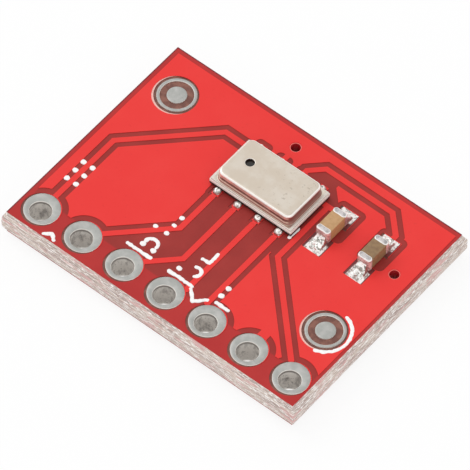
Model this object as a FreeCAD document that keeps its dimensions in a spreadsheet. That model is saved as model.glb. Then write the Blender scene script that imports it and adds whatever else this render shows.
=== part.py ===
import FreeCAD, Part
import Sketcher
import math
import os

# Barometric pressure sensor module: a small red breakout board with seven plated header holes,
# a metal-lidded sensor package and two chip capacitors. Millimetres, +X along the header row,
# +Y from the header to the back edge, +Z up, origin in the middle of the underside.

Vector = FreeCAD.Vector
doc = FreeCAD.newDocument("PressureSensorModule")

# Driving sizes, each written once
SIZES = (
    ("board_length", 18.0, "laminate along X, web to web"),
    ("board_width", 13.3, "laminate along Y, web to web"),
    ("laminate_thickness", 1.5, "bare laminate"),
    ("score_depth", 0.5, "depth of the V score on either face"),
    ("score_recess", 0.25, "how far the V score sets the faces in from the web"),
    ("copper_thickness", 0.035, "copper foil on either face"),
    ("tin_thickness", 0.03, "tin coat on the header rings and fiducials"),
    ("mask_over_copper", 0.02, "solder mask on copper"),
    ("mask_over_laminate", 0.03, "solder mask on bare laminate"),
    ("mask_cover", 0.02, "solder mask on the side of a copper edge"),
    ("mask_gap", 0.05, "how far a mask opening clears its pad"),
    ("mask_shift_x", -0.05, "misregistration of the top mask along X"),
    ("mask_shift_y", -0.06, "misregistration of the top mask along Y"),
    ("legend_thickness", 0.02, "printed legend ink"),
    ("copper_border", 0.3, "ground pour to the edge of the face"),
    ("right_border", 0.18, "ground pour to the right edge of the face"),
    ("trace_width", 0.25, "signal trace"),
    ("isolation", 0.31, "bare gap between a trace and the pour"),
    ("ring_isolation", 0.35, "bare gap between a header ring and the pour"),
    ("land_isolation", 0.29, "bare gap between a sensor pad and the pour"),
    ("pin_pitch", 2.54, "header holes, centre to centre"),
    ("header_shift", 0.1, "middle of the header row from the middle of the board, along X"),
    ("header_inset", 1.45, "header ring centres from the front web"),
    ("ring_diameter", 1.85, "copper ring of a header hole"),
    ("pin_hole", 1.1, "finished header hole"),
    ("barrel_wall", 0.05, "plated wall of a header hole"),
    ("drill_shift", 0.14, "holes drilled this far in front of the ring centres"),
    ("pour_rise", 0.48, "front end of the pour from the ring centres"),
    ("exit_rise", 0.12, "slanted traces aim this far behind the ring centres"),
    ("ring_spoke", 0.5, "width of the spoke from the pour to the ground ring"),
    ("via_hole", 0.5, "finished via hole"),
    ("via_wall", 0.03, "plated wall of a via"),
    ("via_gap", 0.03, "how far the mask opening clears a via hole"),
    ("back_via_x", -0.55, "via behind the sensor, along X"),
    ("back_via_inset", 1.31, "via behind the sensor from the back web"),
    ("side_via_inset", 1.28, "via beside the capacitors from the right web"),
    ("side_via_back", 4.13, "via beside the capacitors from the back web"),
    ("target_disc", 1.0, "disc in the middle of a fiducial target"),
    ("target_inner", 1.68, "inside of a fiducial ring"),
    ("target_outer", 2.0, "outside of a fiducial ring"),
    ("target_gap", 0.14, "bare gap round a fiducial ring"),
    ("left_target_inset", 2.07, "left fiducial from the left web"),
    ("left_target_back", 2.53, "left fiducial from the back web"),
    ("right_target_inset", 1.76, "right fiducial from the right web"),
    ("right_target_front", 4.58, "right fiducial from the front web"),
    ("sensor_inset", 4.1, "middle of the sensor package from the back web"),
    ("sensor_length", 5.0, "sensor package along X"),
    ("sensor_width", 3.0, "sensor package along Y"),
    ("land_pitch", 1.25, "sensor pads, centre to centre"),
    ("land_width", 0.42, "sensor pad on the board, along X"),
    ("land_length", 1.06, "sensor pad on the board, along Y"),
    ("land_reach", 0.38, "how far a sensor pad shows beyond the package"),
    ("contact_inset", 0.05, "package contact inside its board pad, all round"),
    ("contact_thickness", 0.02, "gold contact under the package"),
    ("contact_length", 0.6, "gold contact from the package edge"),
    ("solder_margin", 0.02, "solder inside the mask opening of its pad"),
    ("solder_gap", 0.06, "solder between pad and part"),
    ("ball_diameter", 0.4, "rounded end of a sensor solder joint"),
    ("base_thickness", 0.3, "ceramic base of the package"),
    ("seal_thickness", 0.02, "adhesive under the rim of the lid"),
    ("seal_width", 0.2, "width of the adhesive"),
    ("rim_setback", 0.03, "rim of the lid inside the base edge"),
    ("rim_thickness", 0.08, "rim of the lid"),
    ("lid_height", 0.65, "lid from the seal to its top"),
    ("lid_wall", 0.1, "sheet of the lid"),
    ("dome_margin_x", 0.25, "base edge to dome, along X"),
    ("dome_margin_y", 0.17, "base edge to dome, along Y"),
    ("dome_corner", 0.36, "corner radius of the dome in plan"),
    ("dome_edge", 0.13, "top edge radius of the dome"),
    ("vent_hole", 0.47, "pressure port in the lid"),
    ("vent_x", -1.3, "pressure port from the middle of the lid, along X"),
    ("vent_y", 0.1, "pressure port from the middle of the lid, along Y"),
    ("die_gap", 0.3, "pressure die to the inside of the lid"),
    ("die_side", 1.2, "pressure die and its pedestal"),
    ("die_thickness", 0.12, "pressure die"),
    ("pedestal_height", 0.2, "glass pedestal under the die"),
    ("attach_thickness", 0.02, "adhesive under the pedestal and the converter"),
    ("converter_length", 1.5, "converter die along X"),
    ("converter_width", 1.3, "converter die along Y"),
    ("converter_thickness", 0.15, "converter die"),
    ("wire_diameter", 0.03, "bond wire"),
    ("wire_count", 4, "bond wires in a row"),
    ("wire_pitch", 0.28, "bond wires, centre to centre"),
    ("wire_inset", 0.1, "bond from the edge of its die"),
    ("wire_reach", 0.25, "bond on the base from the edge of the converter"),
    ("bond_gap", 0.2, "bond on the base to the inside of the lid"),
    ("wire_loop", 0.07, "top of a bond wire above the higher bond"),
    ("gel_gap", 0.06, "gel to the inside of the lid"),
    ("chip_inset", 4.03, "middle of the capacitors from the back web"),
    ("left_chip_gap", 1.23, "middle of the left capacitor from the package edge"),
    ("chip_spacing", 2.51, "left capacitor to right capacitor"),
    ("chip_length", 1.6, "chip capacitor along Y"),
    ("chip_width", 0.8, "chip capacitor along X"),
    ("chip_height", 0.8, "chip capacitor"),
    ("end_band", 0.36, "metal end of a capacitor, along Y"),
    ("end_plating", 0.025, "thickness of a metal end"),
    ("end_edge", 0.05, "edge radius of a metal end"),
    ("chip_gap", 0.03, "solder under a capacitor end"),
    ("chip_pad_width", 1.0, "capacitor pad along X"),
    ("chip_pad_length", 1.0, "capacitor pad along Y"),
    ("chip_pad_centres", 1.95, "capacitor pads, centre to centre"),
    ("chip_pad_shift", 0.05, "capacitor pads from the middle of the capacitor, along X"),
    ("fillet_height", 0.45, "solder up the face of a capacitor end"),
    ("toe_height", 0.05, "solder at the outer end of a capacitor pad"),
    ("first_slant", 3.82, "slanted run of the first trace, along Y"),
    ("side_gap", 0.25, "trace beside the sensor from the package edge"),
    ("supply_inset", 1.375, "supply trace from the back web"),
    ("supply_climb", 0.67, "slanted start of the supply trace"),
    ("supply_drop", 0.965, "slanted end of the supply trace"),
    ("mark_width", 0.2, "stroke of a legend mark"),
)

sheet = doc.addObject("Spreadsheet::Sheet", "Sizes")
for row, (alias, value, note) in enumerate(SIZES, start=1):
    sheet.set("A%d" % row, note)
    sheet.set("B%d" % row, str(value))
    sheet.setAlias("B%d" % row, alias)
doc.recompute()


def size(alias):
    return float(sheet.get(alias))


# Levels of the stack, written as expressions for the objects that are bound to the sheet
LAMINATE_BOTTOM = "(Sizes.copper_thickness + Sizes.tin_thickness)"
LAMINATE_TOP = "(%s + Sizes.laminate_thickness)" % LAMINATE_BOTTOM
COPPER_TOP = "(%s + Sizes.copper_thickness)" % LAMINATE_TOP
CONTACT_BOTTOM = "(%s + Sizes.solder_gap)" % COPPER_TOP
BASE_BOTTOM = "(%s + Sizes.contact_thickness)" % CONTACT_BOTTOM
BASE_TOP = "(%s + Sizes.base_thickness)" % BASE_BOTTOM
LID_BOTTOM = "(%s + Sizes.seal_thickness)" % BASE_TOP
CHIP_BOTTOM = "(%s + Sizes.chip_gap)" % COPPER_TOP
SENSOR_X = "Sizes.header_shift"
SENSOR_Y = "(Sizes.board_width / 2 - Sizes.sensor_inset)"
INSIDE_X = "(Sizes.sensor_length / 2 - Sizes.dome_margin_x - Sizes.lid_wall)"
DIE_X = "Sizes.die_gap + Sizes.die_side / 2 - %s" % INSIDE_X
CONVERTER_X = "%s - Sizes.bond_gap - Sizes.wire_reach - Sizes.converter_length / 2" % INSIDE_X
LEFT_CHIP_X = "%s + Sizes.sensor_length / 2 + Sizes.left_chip_gap" % SENSOR_X
CHIP_X = {"left": LEFT_CHIP_X, "right": LEFT_CHIP_X + " + Sizes.chip_spacing"}
CHIP_Y = "(Sizes.board_width / 2 - Sizes.chip_inset)"

# The same levels as numbers, for the shapes that are worked out here
laminate_bottom = size("copper_thickness") + size("tin_thickness")
laminate_top = laminate_bottom + size("laminate_thickness")
copper_top = laminate_top + size("copper_thickness")
mask_top = copper_top + size("mask_over_copper")
ring_top = copper_top + size("tin_thickness")
underside = laminate_bottom - size("copper_thickness") - size("mask_over_copper")
contact_bottom = copper_top + size("solder_gap")
base_bottom = contact_bottom + size("contact_thickness")
base_top = base_bottom + size("base_thickness")
lid_bottom = base_top + size("seal_thickness")
chip_bottom = copper_top + size("chip_gap")

# Places on the board
PINS = range(1, 8)
GROUND_PIN = 6
LANDS = range(1, 5)
face_x = size("board_length") / 2 - size("score_recess")
face_y = size("board_width") / 2 - size("score_recess")
row_y = -size("board_width") / 2 + size("header_inset")
exit_y = row_y + size("exit_rise")
sensor_x = size("header_shift")
sensor_y = size("board_width") / 2 - size("sensor_inset")
front_edge = sensor_y - size("sensor_width") / 2
back_edge = sensor_y + size("sensor_width") / 2
land_inward = size("land_length") / 2 - size("land_reach")
front_land_y = front_edge + land_inward
back_land_y = back_edge - land_inward
left_capacitor_x = sensor_x + size("sensor_length") / 2 + size("left_chip_gap")
capacitors = {"left": left_capacitor_x, "right": left_capacitor_x + size("chip_spacing")}
capacitor_y = size("board_width") / 2 - size("chip_inset")
front_pad_y = capacitor_y - size("chip_pad_centres") / 2
back_pad_y = capacitor_y + size("chip_pad_centres") / 2
left_pad_x = capacitors["left"] + size("chip_pad_shift")
right_pad_x = capacitors["right"] + size("chip_pad_shift")
vias = {
    "back_via": (size("back_via_x"), size("board_width") / 2 - size("back_via_inset")),
    "side_via": (
        size("board_length") / 2 - size("side_via_inset"),
        size("board_width") / 2 - size("side_via_back"),
    ),
}
targets = {
    "left": (
        size("left_target_inset") - size("board_length") / 2,
        size("board_width") / 2 - size("left_target_back"),
    ),
    "right": (
        size("board_length") / 2 - size("right_target_inset"),
        size("right_target_front") - size("board_width") / 2,
    ),
}


def pin_x(pin):
    return sensor_x + (pin - 4) * size("pin_pitch")


def land_x(land):
    return sensor_x + (land - 2.5) * size("land_pitch")


parts = []


# Gives a finished sub-part its name and puts it on the list that is written out
def keep(thing, label):
    thing.Label = label
    parts.append(thing)
    return thing


# A sub-part whose shape is worked out here from the sheet's values
def shaped(label, shape):
    thing = doc.addObject("Part::Feature", label)
    thing.Shape = shape.removeSplitter()
    thing.Placement = FreeCAD.Placement()
    return keep(thing, label)


# Primitives bound to the sheet
def block(name, length, width, height, x="0", y="0", z="0"):
    solid = doc.addObject("Part::Box", name)
    solid.setExpression("Length", length)
    solid.setExpression("Width", width)
    solid.setExpression("Height", height)
    solid.setExpression("Placement.Base.x", "%s - (%s) / 2" % (x, length))
    solid.setExpression("Placement.Base.y", "%s - (%s) / 2" % (y, width))
    solid.setExpression("Placement.Base.z", z)
    return solid


def post(name, diameter, height, x="0", y="0", z="0"):
    solid = doc.addObject("Part::Cylinder", name)
    solid.setExpression("Radius", "(%s) / 2" % diameter)
    solid.setExpression("Height", height)
    solid.setExpression("Placement.Base.x", x)
    solid.setExpression("Placement.Base.y", y)
    solid.setExpression("Placement.Base.z", z)
    return solid


def joined(name, solids):
    fusion = doc.addObject("Part::MultiFuse", name)
    fusion.Shapes = solids
    fusion.Refine = True
    return fusion


def shared(name, first, second):
    common = doc.addObject("Part::Common", name)
    common.Base = first
    common.Tool = second
    return common


def less(name, base, tool):
    difference = doc.addObject("Part::Cut", name)
    difference.Base = base
    difference.Tool = tool
    difference.Refine = True
    return difference


# Flat shapes worked out from points in the board's plane
def prism(points, bottom, top):
    corners = [Vector(x, y, bottom) for x, y in points]
    face = Part.Face(Part.makePolygon(corners + corners[:1]))
    return face.extrude(Vector(0, 0, top - bottom))


def slab(x, y, length, width, bottom, top):
    return Part.makeBox(length, width, top - bottom, Vector(x - length / 2, y - width / 2, bottom))


# A clearance round a pad, with corners as round as it is wide
def clearing(centre, length, width, gap, bottom, top):
    box = slab(*centre, length + 2 * gap, width + 2 * gap, bottom, top)
    upright = [edge for edge in box.Edges if edge.BoundBox.ZLength > (top - bottom) / 2]
    return box.makeFillet(gap, upright)


def disc(x, y, diameter, bottom, top):
    return Part.makeCylinder(diameter / 2, top - bottom, Vector(x, y, bottom))


# Both sides of a route at half its width, with mitred corners
def strip(route, width, bottom, top):
    left = []
    right = []
    for place, (x, y) in enumerate(route):
        here = Vector(x, y, 0)
        ahead = Vector(*route[min(place + 1, len(route) - 1)], 0) - here
        behind = here - Vector(*route[max(place - 1, 0)], 0)
        first = (behind if behind.Length else ahead).normalize()
        second = (ahead if ahead.Length else behind).normalize()
        along = (first + second).normalize()
        across = Vector(-along.y, along.x, 0) * (width / 2 / along.dot(first))
        left.append((x + across.x, y + across.y))
        right.append((x - across.x, y - across.y))
    return prism(left + right[::-1], bottom, top)


def union(shapes):
    if len(shapes) == 1:
        return shapes[0]
    return shapes[0].fuse(shapes[1:])


# Laminate, with its edges V-scored from both faces, drilled for the header holes and the vias
def frustum(name, low_inset, high_inset, z):
    solid = doc.addObject("Part::Wedge", name)
    for axis, extent in (("X", "board_length"), ("Z", "board_width")):
        low = "Sizes.%s / 2 - %s" % (extent, low_inset)
        high = "Sizes.%s / 2 - %s" % (extent, high_inset)
        solid.setExpression(axis + "min", "-(%s)" % low)
        solid.setExpression(axis + "max", low)
        solid.setExpression(axis + "2min", "-(%s)" % high)
        solid.setExpression(axis + "2max", high)
    solid.setExpression("Ymin", "0")
    solid.setExpression("Ymax", "Sizes.score_depth")
    solid.Placement.Rotation = FreeCAD.Rotation(Vector(1, 0, 0), 90)
    solid.setExpression("Placement.Base.z", z)
    return solid


def pin_place(pin):
    return "Sizes.header_shift + (%d) * Sizes.pin_pitch" % (pin - 4)


HOLE_Y = "-Sizes.board_width / 2 + Sizes.header_inset - Sizes.drill_shift"
VIA_PLACES = {
    "back_via": ("Sizes.back_via_x", "Sizes.board_width / 2 - Sizes.back_via_inset"),
    "side_via": (
        "Sizes.board_length / 2 - Sizes.side_via_inset",
        "Sizes.board_width / 2 - Sizes.side_via_back",
    ),
}
WEB = "Sizes.laminate_thickness - 2 * Sizes.score_depth"
TOP_SCORE = "%s - Sizes.score_depth" % LAMINATE_TOP
BOTTOM_SCORE = "%s + Sizes.score_depth" % LAMINATE_BOTTOM
blank = joined("laminate_blank", [
    frustum("lower_score", "Sizes.score_recess", "0", LAMINATE_BOTTOM),
    block("web", "Sizes.board_length", "Sizes.board_width", WEB, z=BOTTOM_SCORE),
    frustum("upper_score", "0", "Sizes.score_recess", TOP_SCORE),
])
BARREL = "Sizes.pin_hole + 2 * Sizes.barrel_wall"
VIA_BARREL = "Sizes.via_hole + 2 * Sizes.via_wall"
drills = [post("drill_%d" % pin, BARREL, LAMINATE_TOP, pin_place(pin), HOLE_Y) for pin in PINS]
for name, (x, y) in VIA_PLACES.items():
    drills.append(post(name + "_drill", VIA_BARREL, LAMINATE_TOP, x, y))
keep(less("drilled_laminate", blank, joined("drilling", drills)), "laminate")


# Header hole: plated barrel with a ring on each face, the top ring tinned where the mask leaves it open
def header_hole(pin):
    x = pin_place(pin)
    ring_y = "-Sizes.board_width / 2 + Sizes.header_inset"
    opening = "Sizes.ring_diameter + 2 * Sizes.mask_gap"
    coat = shared(
        "coat_%d" % pin,
        post("coat_disc_%d" % pin, "Sizes.ring_diameter", "Sizes.tin_thickness", x, ring_y, COPPER_TOP),
        post("coat_opening_%d" % pin, opening, "Sizes.tin_thickness", x + " + Sizes.mask_shift_x",
             ring_y + " + Sizes.mask_shift_y", COPPER_TOP),
    )
    body = joined("barrel_and_rings_%d" % pin, [
        post("lower_ring_%d" % pin, "Sizes.ring_diameter", LAMINATE_BOTTOM, x, ring_y),
        post("barrel_%d" % pin, BARREL, COPPER_TOP, x, HOLE_Y),
        post("upper_ring_%d" % pin, "Sizes.ring_diameter", "Sizes.copper_thickness", x, ring_y,
             LAMINATE_TOP),
        coat,
    ])
    reach = "%s + Sizes.tin_thickness" % COPPER_TOP
    bore = post("bore_%d" % pin, "Sizes.pin_hole", reach, x, HOLE_Y)
    keep(less("plated_hole_%d" % pin, body, bore), "header_hole_%d" % pin)


for pin in PINS:
    header_hole(pin)

# Vias: plated tubes through both pours
VIA_BOTTOM = "Sizes.tin_thickness"
VIA_HEIGHT = "Sizes.laminate_thickness + 2 * Sizes.copper_thickness"
for name, (x, y) in VIA_PLACES.items():
    tube = less(
        name + "_tube",
        post(name + "_wall", VIA_BARREL, VIA_HEIGHT, x, y, VIA_BOTTOM),
        post(name + "_bore", "Sizes.via_hole", VIA_HEIGHT, x, y, VIA_BOTTOM),
    )
    keep(tube, name)

# Routes of the top traces, at 45 degrees where they slant
side_x = sensor_x + size("sensor_length") / 2 + size("side_gap")
supply_y = size("board_width") / 2 - size("supply_inset")


def front_route(pin, land):
    x = land_x(land)
    return [(pin_x(pin), exit_y), (x, exit_y + abs(x - pin_x(pin))), (x, front_land_y)]


first_bend_y = back_land_y - size("first_slant")
ROUTES = {
    "trace_pin_1": [
        [
            (pin_x(1), row_y),
            (pin_x(1), first_bend_y),
            (pin_x(1) + size("first_slant"), back_land_y),
            (land_x(1), back_land_y),
        ],
    ],
    "trace_pin_2": [front_route(2, 1)],
    "trace_pin_3": [front_route(3, 2)],
    "trace_pin_4": [front_route(4, 3)],
    "trace_pin_5": [front_route(5, 4)],
    "trace_pin_7": [
        [
            (pin_x(7), exit_y),
            (side_x, exit_y + pin_x(7) - side_x),
            (side_x, back_pad_y),
            (left_pad_x, back_pad_y),
        ],
        [(side_x, back_pad_y), (land_x(4), back_pad_y)],
    ],
    "trace_supply": [
        [
            (land_x(3), back_land_y),
            (land_x(3), supply_y - size("supply_climb")),
            (land_x(3) + size("supply_climb"), supply_y),
            (right_pad_x - size("supply_drop"), supply_y),
            (right_pad_x, supply_y - size("supply_drop")),
            (right_pad_x, back_pad_y),
        ],
    ],
}
LAND_PADS = {
    "trace_pin_1": (land_x(1), back_land_y),
    "trace_pin_2": (land_x(1), front_land_y),
    "trace_pin_3": (land_x(2), front_land_y),
    "trace_pin_4": (land_x(3), front_land_y),
    "trace_pin_5": (land_x(4), front_land_y),
    "trace_pin_7": (land_x(4), back_land_y),
    "trace_supply": (land_x(3), back_land_y),
}
CHIP_PADS = {
    "trace_pin_7": (left_pad_x, back_pad_y),
    "trace_supply": (right_pad_x, back_pad_y),
}
ground_land = (land_x(2), back_land_y)


def land_pad(centre, bottom, top, grow=0.0):
    length = size("land_width") + 2 * grow
    width = size("land_length") + 2 * grow
    return slab(*centre, length, width, bottom, top)


def chip_pad(centre, bottom, top, grow=0.0):
    length = size("chip_pad_width") + 2 * grow
    width = size("chip_pad_length") + 2 * grow
    return slab(*centre, length, width, bottom, top)


# One trace with its pads, grown all round by a named amount
def trace_shape(name, bottom, top, grow=0.0):
    shapes = [strip(route, size("trace_width") + 2 * grow, bottom, top) for route in ROUTES[name]]
    shapes.append(land_pad(LAND_PADS[name], bottom, top, grow))
    if name in CHIP_PADS:
        shapes.append(chip_pad(CHIP_PADS[name], bottom, top, grow))
    return union(shapes)


# The bare areas of the top face that no isolation gap accounts for
def bare_areas(bottom, top, grow):
    middle = front_route(2, 1) + front_route(5, 4)[::-1]
    gap = size("isolation") - grow
    land_gap = size("land_isolation") - grow
    land_back = back_land_y + size("land_length") / 2 + land_gap
    land_right = land_x(4) + size("land_width") / 2 + land_gap
    chip_left = left_pad_x - size("chip_pad_width") / 2 - gap
    chip_back = back_pad_y + size("chip_pad_length") / 2 + gap
    trace_side = side_x + size("trace_width") / 2
    bay = [
        (land_x(3), back_land_y),
        (land_x(3), supply_y - size("supply_climb")),
        (land_x(3) + size("supply_climb"), supply_y),
        (land_right, supply_y),
        (land_right, land_back),
        (chip_left, chip_back - (chip_left - land_right) / 2),
        (chip_left, back_pad_y),
        (land_x(4), back_pad_y),
    ]
    side = [
        (land_x(4), exit_y + pin_x(7) - side_x),
        (side_x, exit_y + pin_x(7) - side_x),
        (trace_side, back_pad_y),
        (land_x(4), back_pad_y),
    ]
    areas = [prism(middle, bottom, top), prism(bay, bottom, top), prism(side, bottom, top)]
    front = front_pad_y + size("chip_pad_length") / 2
    width = size("chip_pad_centres")
    for x in (left_pad_x, right_pad_x):
        centre = (x, front + gap + (width - gap) / 2)
        areas.append(clearing(centre, size("chip_pad_width"), width - gap, gap, bottom, top))
    front = 2 * (size("board_width") / 2 + row_y + size("pour_rise") - grow)
    areas.append(slab(0, -size("board_width") / 2, size("board_length"), front, bottom, top))
    return areas


def land_clearing(centre, bottom, top, grow):
    gap = size("land_isolation") - grow
    return clearing(centre, size("land_width"), size("land_length"), gap, bottom, top)


def ring_gaps(bottom, top, grow):
    across = size("ring_diameter") + 2 * (size("ring_isolation") - grow)
    return [disc(pin_x(pin), row_y, across, bottom, top) for pin in PINS]


# The spoke that ties the ground ring to a pour
def ground_spoke(bottom, top, grow):
    reach = size("ring_diameter") / 2 + 2 * size("ring_isolation")
    width = size("ring_spoke") + 2 * grow
    return slab(pin_x(GROUND_PIN), row_y + reach / 2, width, reach, bottom, top)


# A sheet of copper with its bare borders at the sides and at the back
def copper_sheet(front, bottom, top, grow):
    left = size("copper_border") - grow - face_x
    right = face_x - size("right_border") + grow
    back = face_y - size("copper_border") + grow
    return slab((left + right) / 2, (front + back) / 2, right - left, back - front, bottom, top)


# The ground pour of the top face, with the islands that the traces cut it into
def top_pour(bottom, top, grow=0.0):
    pour = copper_sheet(size("copper_border") - grow - face_y, bottom, top, grow)
    gap = size("isolation") - grow
    holes = bare_areas(bottom, top, grow)
    holes += ring_gaps(bottom, top, grow)
    for name, routes in ROUTES.items():
        width = size("trace_width") + 2 * gap
        holes += [strip(route, width, bottom, top) for route in routes]
        holes.append(land_clearing(LAND_PADS[name], bottom, top, grow))
    holes.append(land_clearing(ground_land, bottom, top, grow))
    pour = pour.cut(holes)
    middle_y = (sensor_y + supply_y) / 2
    ties = [
        land_pad(ground_land, bottom, top, grow),
        slab(land_x(2), middle_y, size("trace_width") + 2 * grow, supply_y - sensor_y, bottom, top),
        ground_spoke(bottom, top, grow),
    ]
    return pour.fuse(ties)


header_rings = [disc(pin_x(pin), row_y, size("ring_diameter"), 0, ring_top) for pin in PINS]
via_holes = [disc(x, y, size("via_hole") + 2 * size("via_wall"), 0, ring_top) for x, y in vias.values()]
target_across = size("target_outer") + 2 * size("target_gap")
target_clear = [disc(x, y, target_across, laminate_top, ring_top) for x, y in targets.values()]
top_copper = {}
for name in ROUTES:
    trace = trace_shape(name, laminate_top, copper_top).cut(header_rings)
    top_copper[name] = shaped(name, trace)

pour_solids = top_pour(laminate_top, copper_top).cut(header_rings + via_holes + target_clear).Solids
spoke_y = row_y + size("ring_diameter") / 2 + size("ring_isolation")
spoke_point = Vector(pin_x(GROUND_PIN), spoke_y, copper_top)
island = [solid for solid in pour_solids if solid.isInside(spoke_point, 1e-4, True)]
mainland = [solid for solid in pour_solids if not solid.isInside(spoke_point, 1e-4, True)]
top_copper["ground_pour_front"] = shaped("ground_pour_front", Part.makeCompound(island))
top_copper["ground_pour_back"] = shaped("ground_pour_back", Part.makeCompound(mainland))


# Ground pour of the underside, joined to the ground ring by a spoke
def bottom_pour(bottom, top, grow=0.0):
    pour = copper_sheet(row_y + size("pour_rise") - grow, bottom, top, grow)
    pour = pour.cut(ring_gaps(bottom, top, grow))
    return pour.fuse(ground_spoke(bottom, top, grow))


bottom_copper_level = laminate_bottom - size("copper_thickness")
lower = bottom_pour(bottom_copper_level, laminate_bottom).cut(header_rings + via_holes)
ground_pour_bottom = shaped("ground_pour_bottom", lower)

# Fiducial targets: a tinned disc inside a tinned ring
for side, (x, y) in targets.items():
    centre = disc(x, y, size("target_disc"), laminate_top, ring_top)
    shaped("fiducial_disc_" + side, centre)
    ring = disc(x, y, size("target_outer"), laminate_top, ring_top)
    shaped("fiducial_ring_" + side, ring.cut(disc(x, y, size("target_inner"), laminate_top, ring_top)))

# Openings of the top mask, all moved by its misregistration
openings = []
for pin in PINS:
    openings.append(disc(pin_x(pin), row_y, size("ring_diameter") + 2 * size("mask_gap"), laminate_top,
                         ring_top))
for x, y in targets.values():
    openings.append(disc(x, y, target_across + size("mask_gap"), laminate_top, ring_top))
land_rows = (front_land_y, back_land_y)
for y in land_rows:
    for land in LANDS:
        openings.append(land_pad((land_x(land), y), laminate_top, ring_top, size("mask_gap")))
for x in (left_pad_x, right_pad_x):
    for y in (front_pad_y, back_pad_y):
        openings.append(chip_pad((x, y), laminate_top, ring_top, size("mask_gap")))
shift = Vector(size("mask_shift_x"), size("mask_shift_y"), 0)
for opening in openings:
    opening.translate(shift)

# Top solder mask: one film that rises over the copper
cover = size("mask_cover")
film = slab(0, 0, 2 * face_x, 2 * face_y, laminate_top, laminate_top + size("mask_over_laminate"))
raised = [trace_shape(name, laminate_top, mask_top, cover) for name in ROUTES]
raised.append(top_pour(laminate_top, mask_top, cover))
raised += [disc(pin_x(pin), row_y, size("ring_diameter") + 2 * cover, laminate_top, mask_top) for pin in PINS]
via_open = [disc(x, y, size("via_hole") + 2 * size("via_wall") + 2 * size("via_gap"), 0, ring_top)
            for x, y in vias.values()]
copper_solids = [thing.Shape for thing in top_copper.values()]
upper_rings = [disc(pin_x(pin), row_y, size("ring_diameter"), laminate_top, copper_top) for pin in PINS]
face = slab(0, 0, 2 * face_x, 2 * face_y, laminate_top, mask_top)
relief = film.fuse(raised).common(face).removeSplitter()
shaped("solder_mask_top", relief.cut(openings + via_open + upper_rings + copper_solids))

# Underside mask, in register with its copper
low_film = slab(0, 0, 2 * face_x, 2 * face_y, laminate_bottom - size("mask_over_laminate"),
                laminate_bottom)
low_raised = [bottom_pour(underside, laminate_bottom, cover)]
low_open = [disc(pin_x(pin), row_y, size("ring_diameter") + 2 * size("mask_gap"), 0, laminate_bottom)
            for pin in PINS]
low_mask = low_film.fuse(low_raised).cut(low_open + via_open + [ground_pour_bottom.Shape])
shaped("solder_mask_bottom", low_mask)


# Printed legend: plain dots, bars, arcs and chevrons that follow the relief of the mask
def dot(x, y, across=1.4):
    return disc(x, y, size("mark_width") * across, laminate_top, mark_top)


def stroke(points):
    return strip(points, size("mark_width"), laminate_top, mark_top)


def half_ring(x, y, radius, start, sweep):
    width = size("mark_width")
    axis = Vector(0, 0, 1)
    place = Vector(x, y, laminate_top)
    height = mark_top - laminate_top
    outer = Part.makeCylinder(radius + width / 2, height, place, axis, sweep)
    inner = Part.makeCylinder(radius - width / 2, height, place, axis, 360)
    arc = outer.cut(inner)
    arc.rotate(place, axis, start)
    return arc


mark_top = mask_top + size("legend_thickness")
rings_back = row_y + size("ring_diameter") / 2
bar_y = rings_back + 0.75 * size("mark_width")
marks = []
for column in (-1, 1):
    for step in range(3):
        marks.append(dot(pin_x(1) + column * 1.4 * size("mark_width"), first_bend_y - 1.9 - 0.62 * step))
between = (pin_x(1) + pin_x(2)) / 2
tip_y = row_y - size("ring_diameter") / 2 + 0.12
marks.append(stroke([(between - 0.3, tip_y - 0.25), (between, tip_y), (between + 0.3, tip_y - 0.25)]))
for pin, width in ((3, 1.6), (4, 1.6), (5, 0.9)):
    marks.append(stroke([(pin_x(pin) - width / 2, bar_y), (pin_x(pin) + width / 2, bar_y)]))
marks.append(half_ring(pin_x(3) + 0.2, bar_y + 0.65, 0.32, 0, 180))
marks.append(dot(pin_x(3) - 0.12, bar_y + 0.42))
marks.append(dot(pin_x(3) + 0.52, bar_y + 0.42))
for step in range(3):
    marks.append(dot(pin_x(3) + 0.36, bar_y + 1.6 + 0.58 * step, 1.2))
marks.append(dot(pin_x(3) - 0.3, bar_y + 1.6, 1.2))
marks.append(dot(pin_x(4) - 0.42, bar_y + 0.42, 1.3))
marks.append(half_ring(pin_x(4) + 0.3, bar_y + 0.75, 0.28, -60, 180))
corner_x = pin_x(4) + 0.5
marks.append(stroke([(corner_x - 0.4, bar_y + 1.55), (corner_x, bar_y + 1.55), (corner_x, bar_y + 2.2)]))
notch_x = (pin_x(4) + pin_x(5)) / 2
marks.append(stroke([(notch_x - 0.5, bar_y - 0.15), (notch_x, bar_y - 0.65), (notch_x + 0.5, bar_y - 0.15)]))
for step in range(2):
    marks.append(dot(pin_x(5) - 0.42, bar_y + 0.45 + 0.55 * step))
corner = (side_x - 1.5 * size("mark_width"), front_edge + 0.3)
marks.append(stroke([(corner[0], corner[1] - 0.32), (corner[0], corner[1] + 0.32)]))
target_x, target_y = targets["right"]
marks.append(half_ring(target_x, target_y, size("target_outer") / 2 + 1.2 * size("mark_width"), -75, 150))
shaped("legend_print", Part.makeCompound(marks).cut([relief] + openings))


# Sketch helpers for the bodies
def origin_plane(body, role):
    for feature in body.Origin.OriginFeatures:
        if feature.Role == role:
            return feature
    return None


def flat_sketch(body, name):
    sketch = body.newObject("Sketcher::SketchObject", name)
    sketch.AttachmentSupport = [(origin_plane(body, "XY_Plane"), "")]
    sketch.MapMode = "FlatFace"
    return sketch


def name_distance(sketch, kind, where, name, expression):
    sketch.addConstraint(Sketcher.Constraint(kind, *where, 1.0))
    sketch.renameConstraint(sketch.ConstraintCount - 1, name)
    sketch.setExpression("Constraints." + name, expression)


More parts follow.
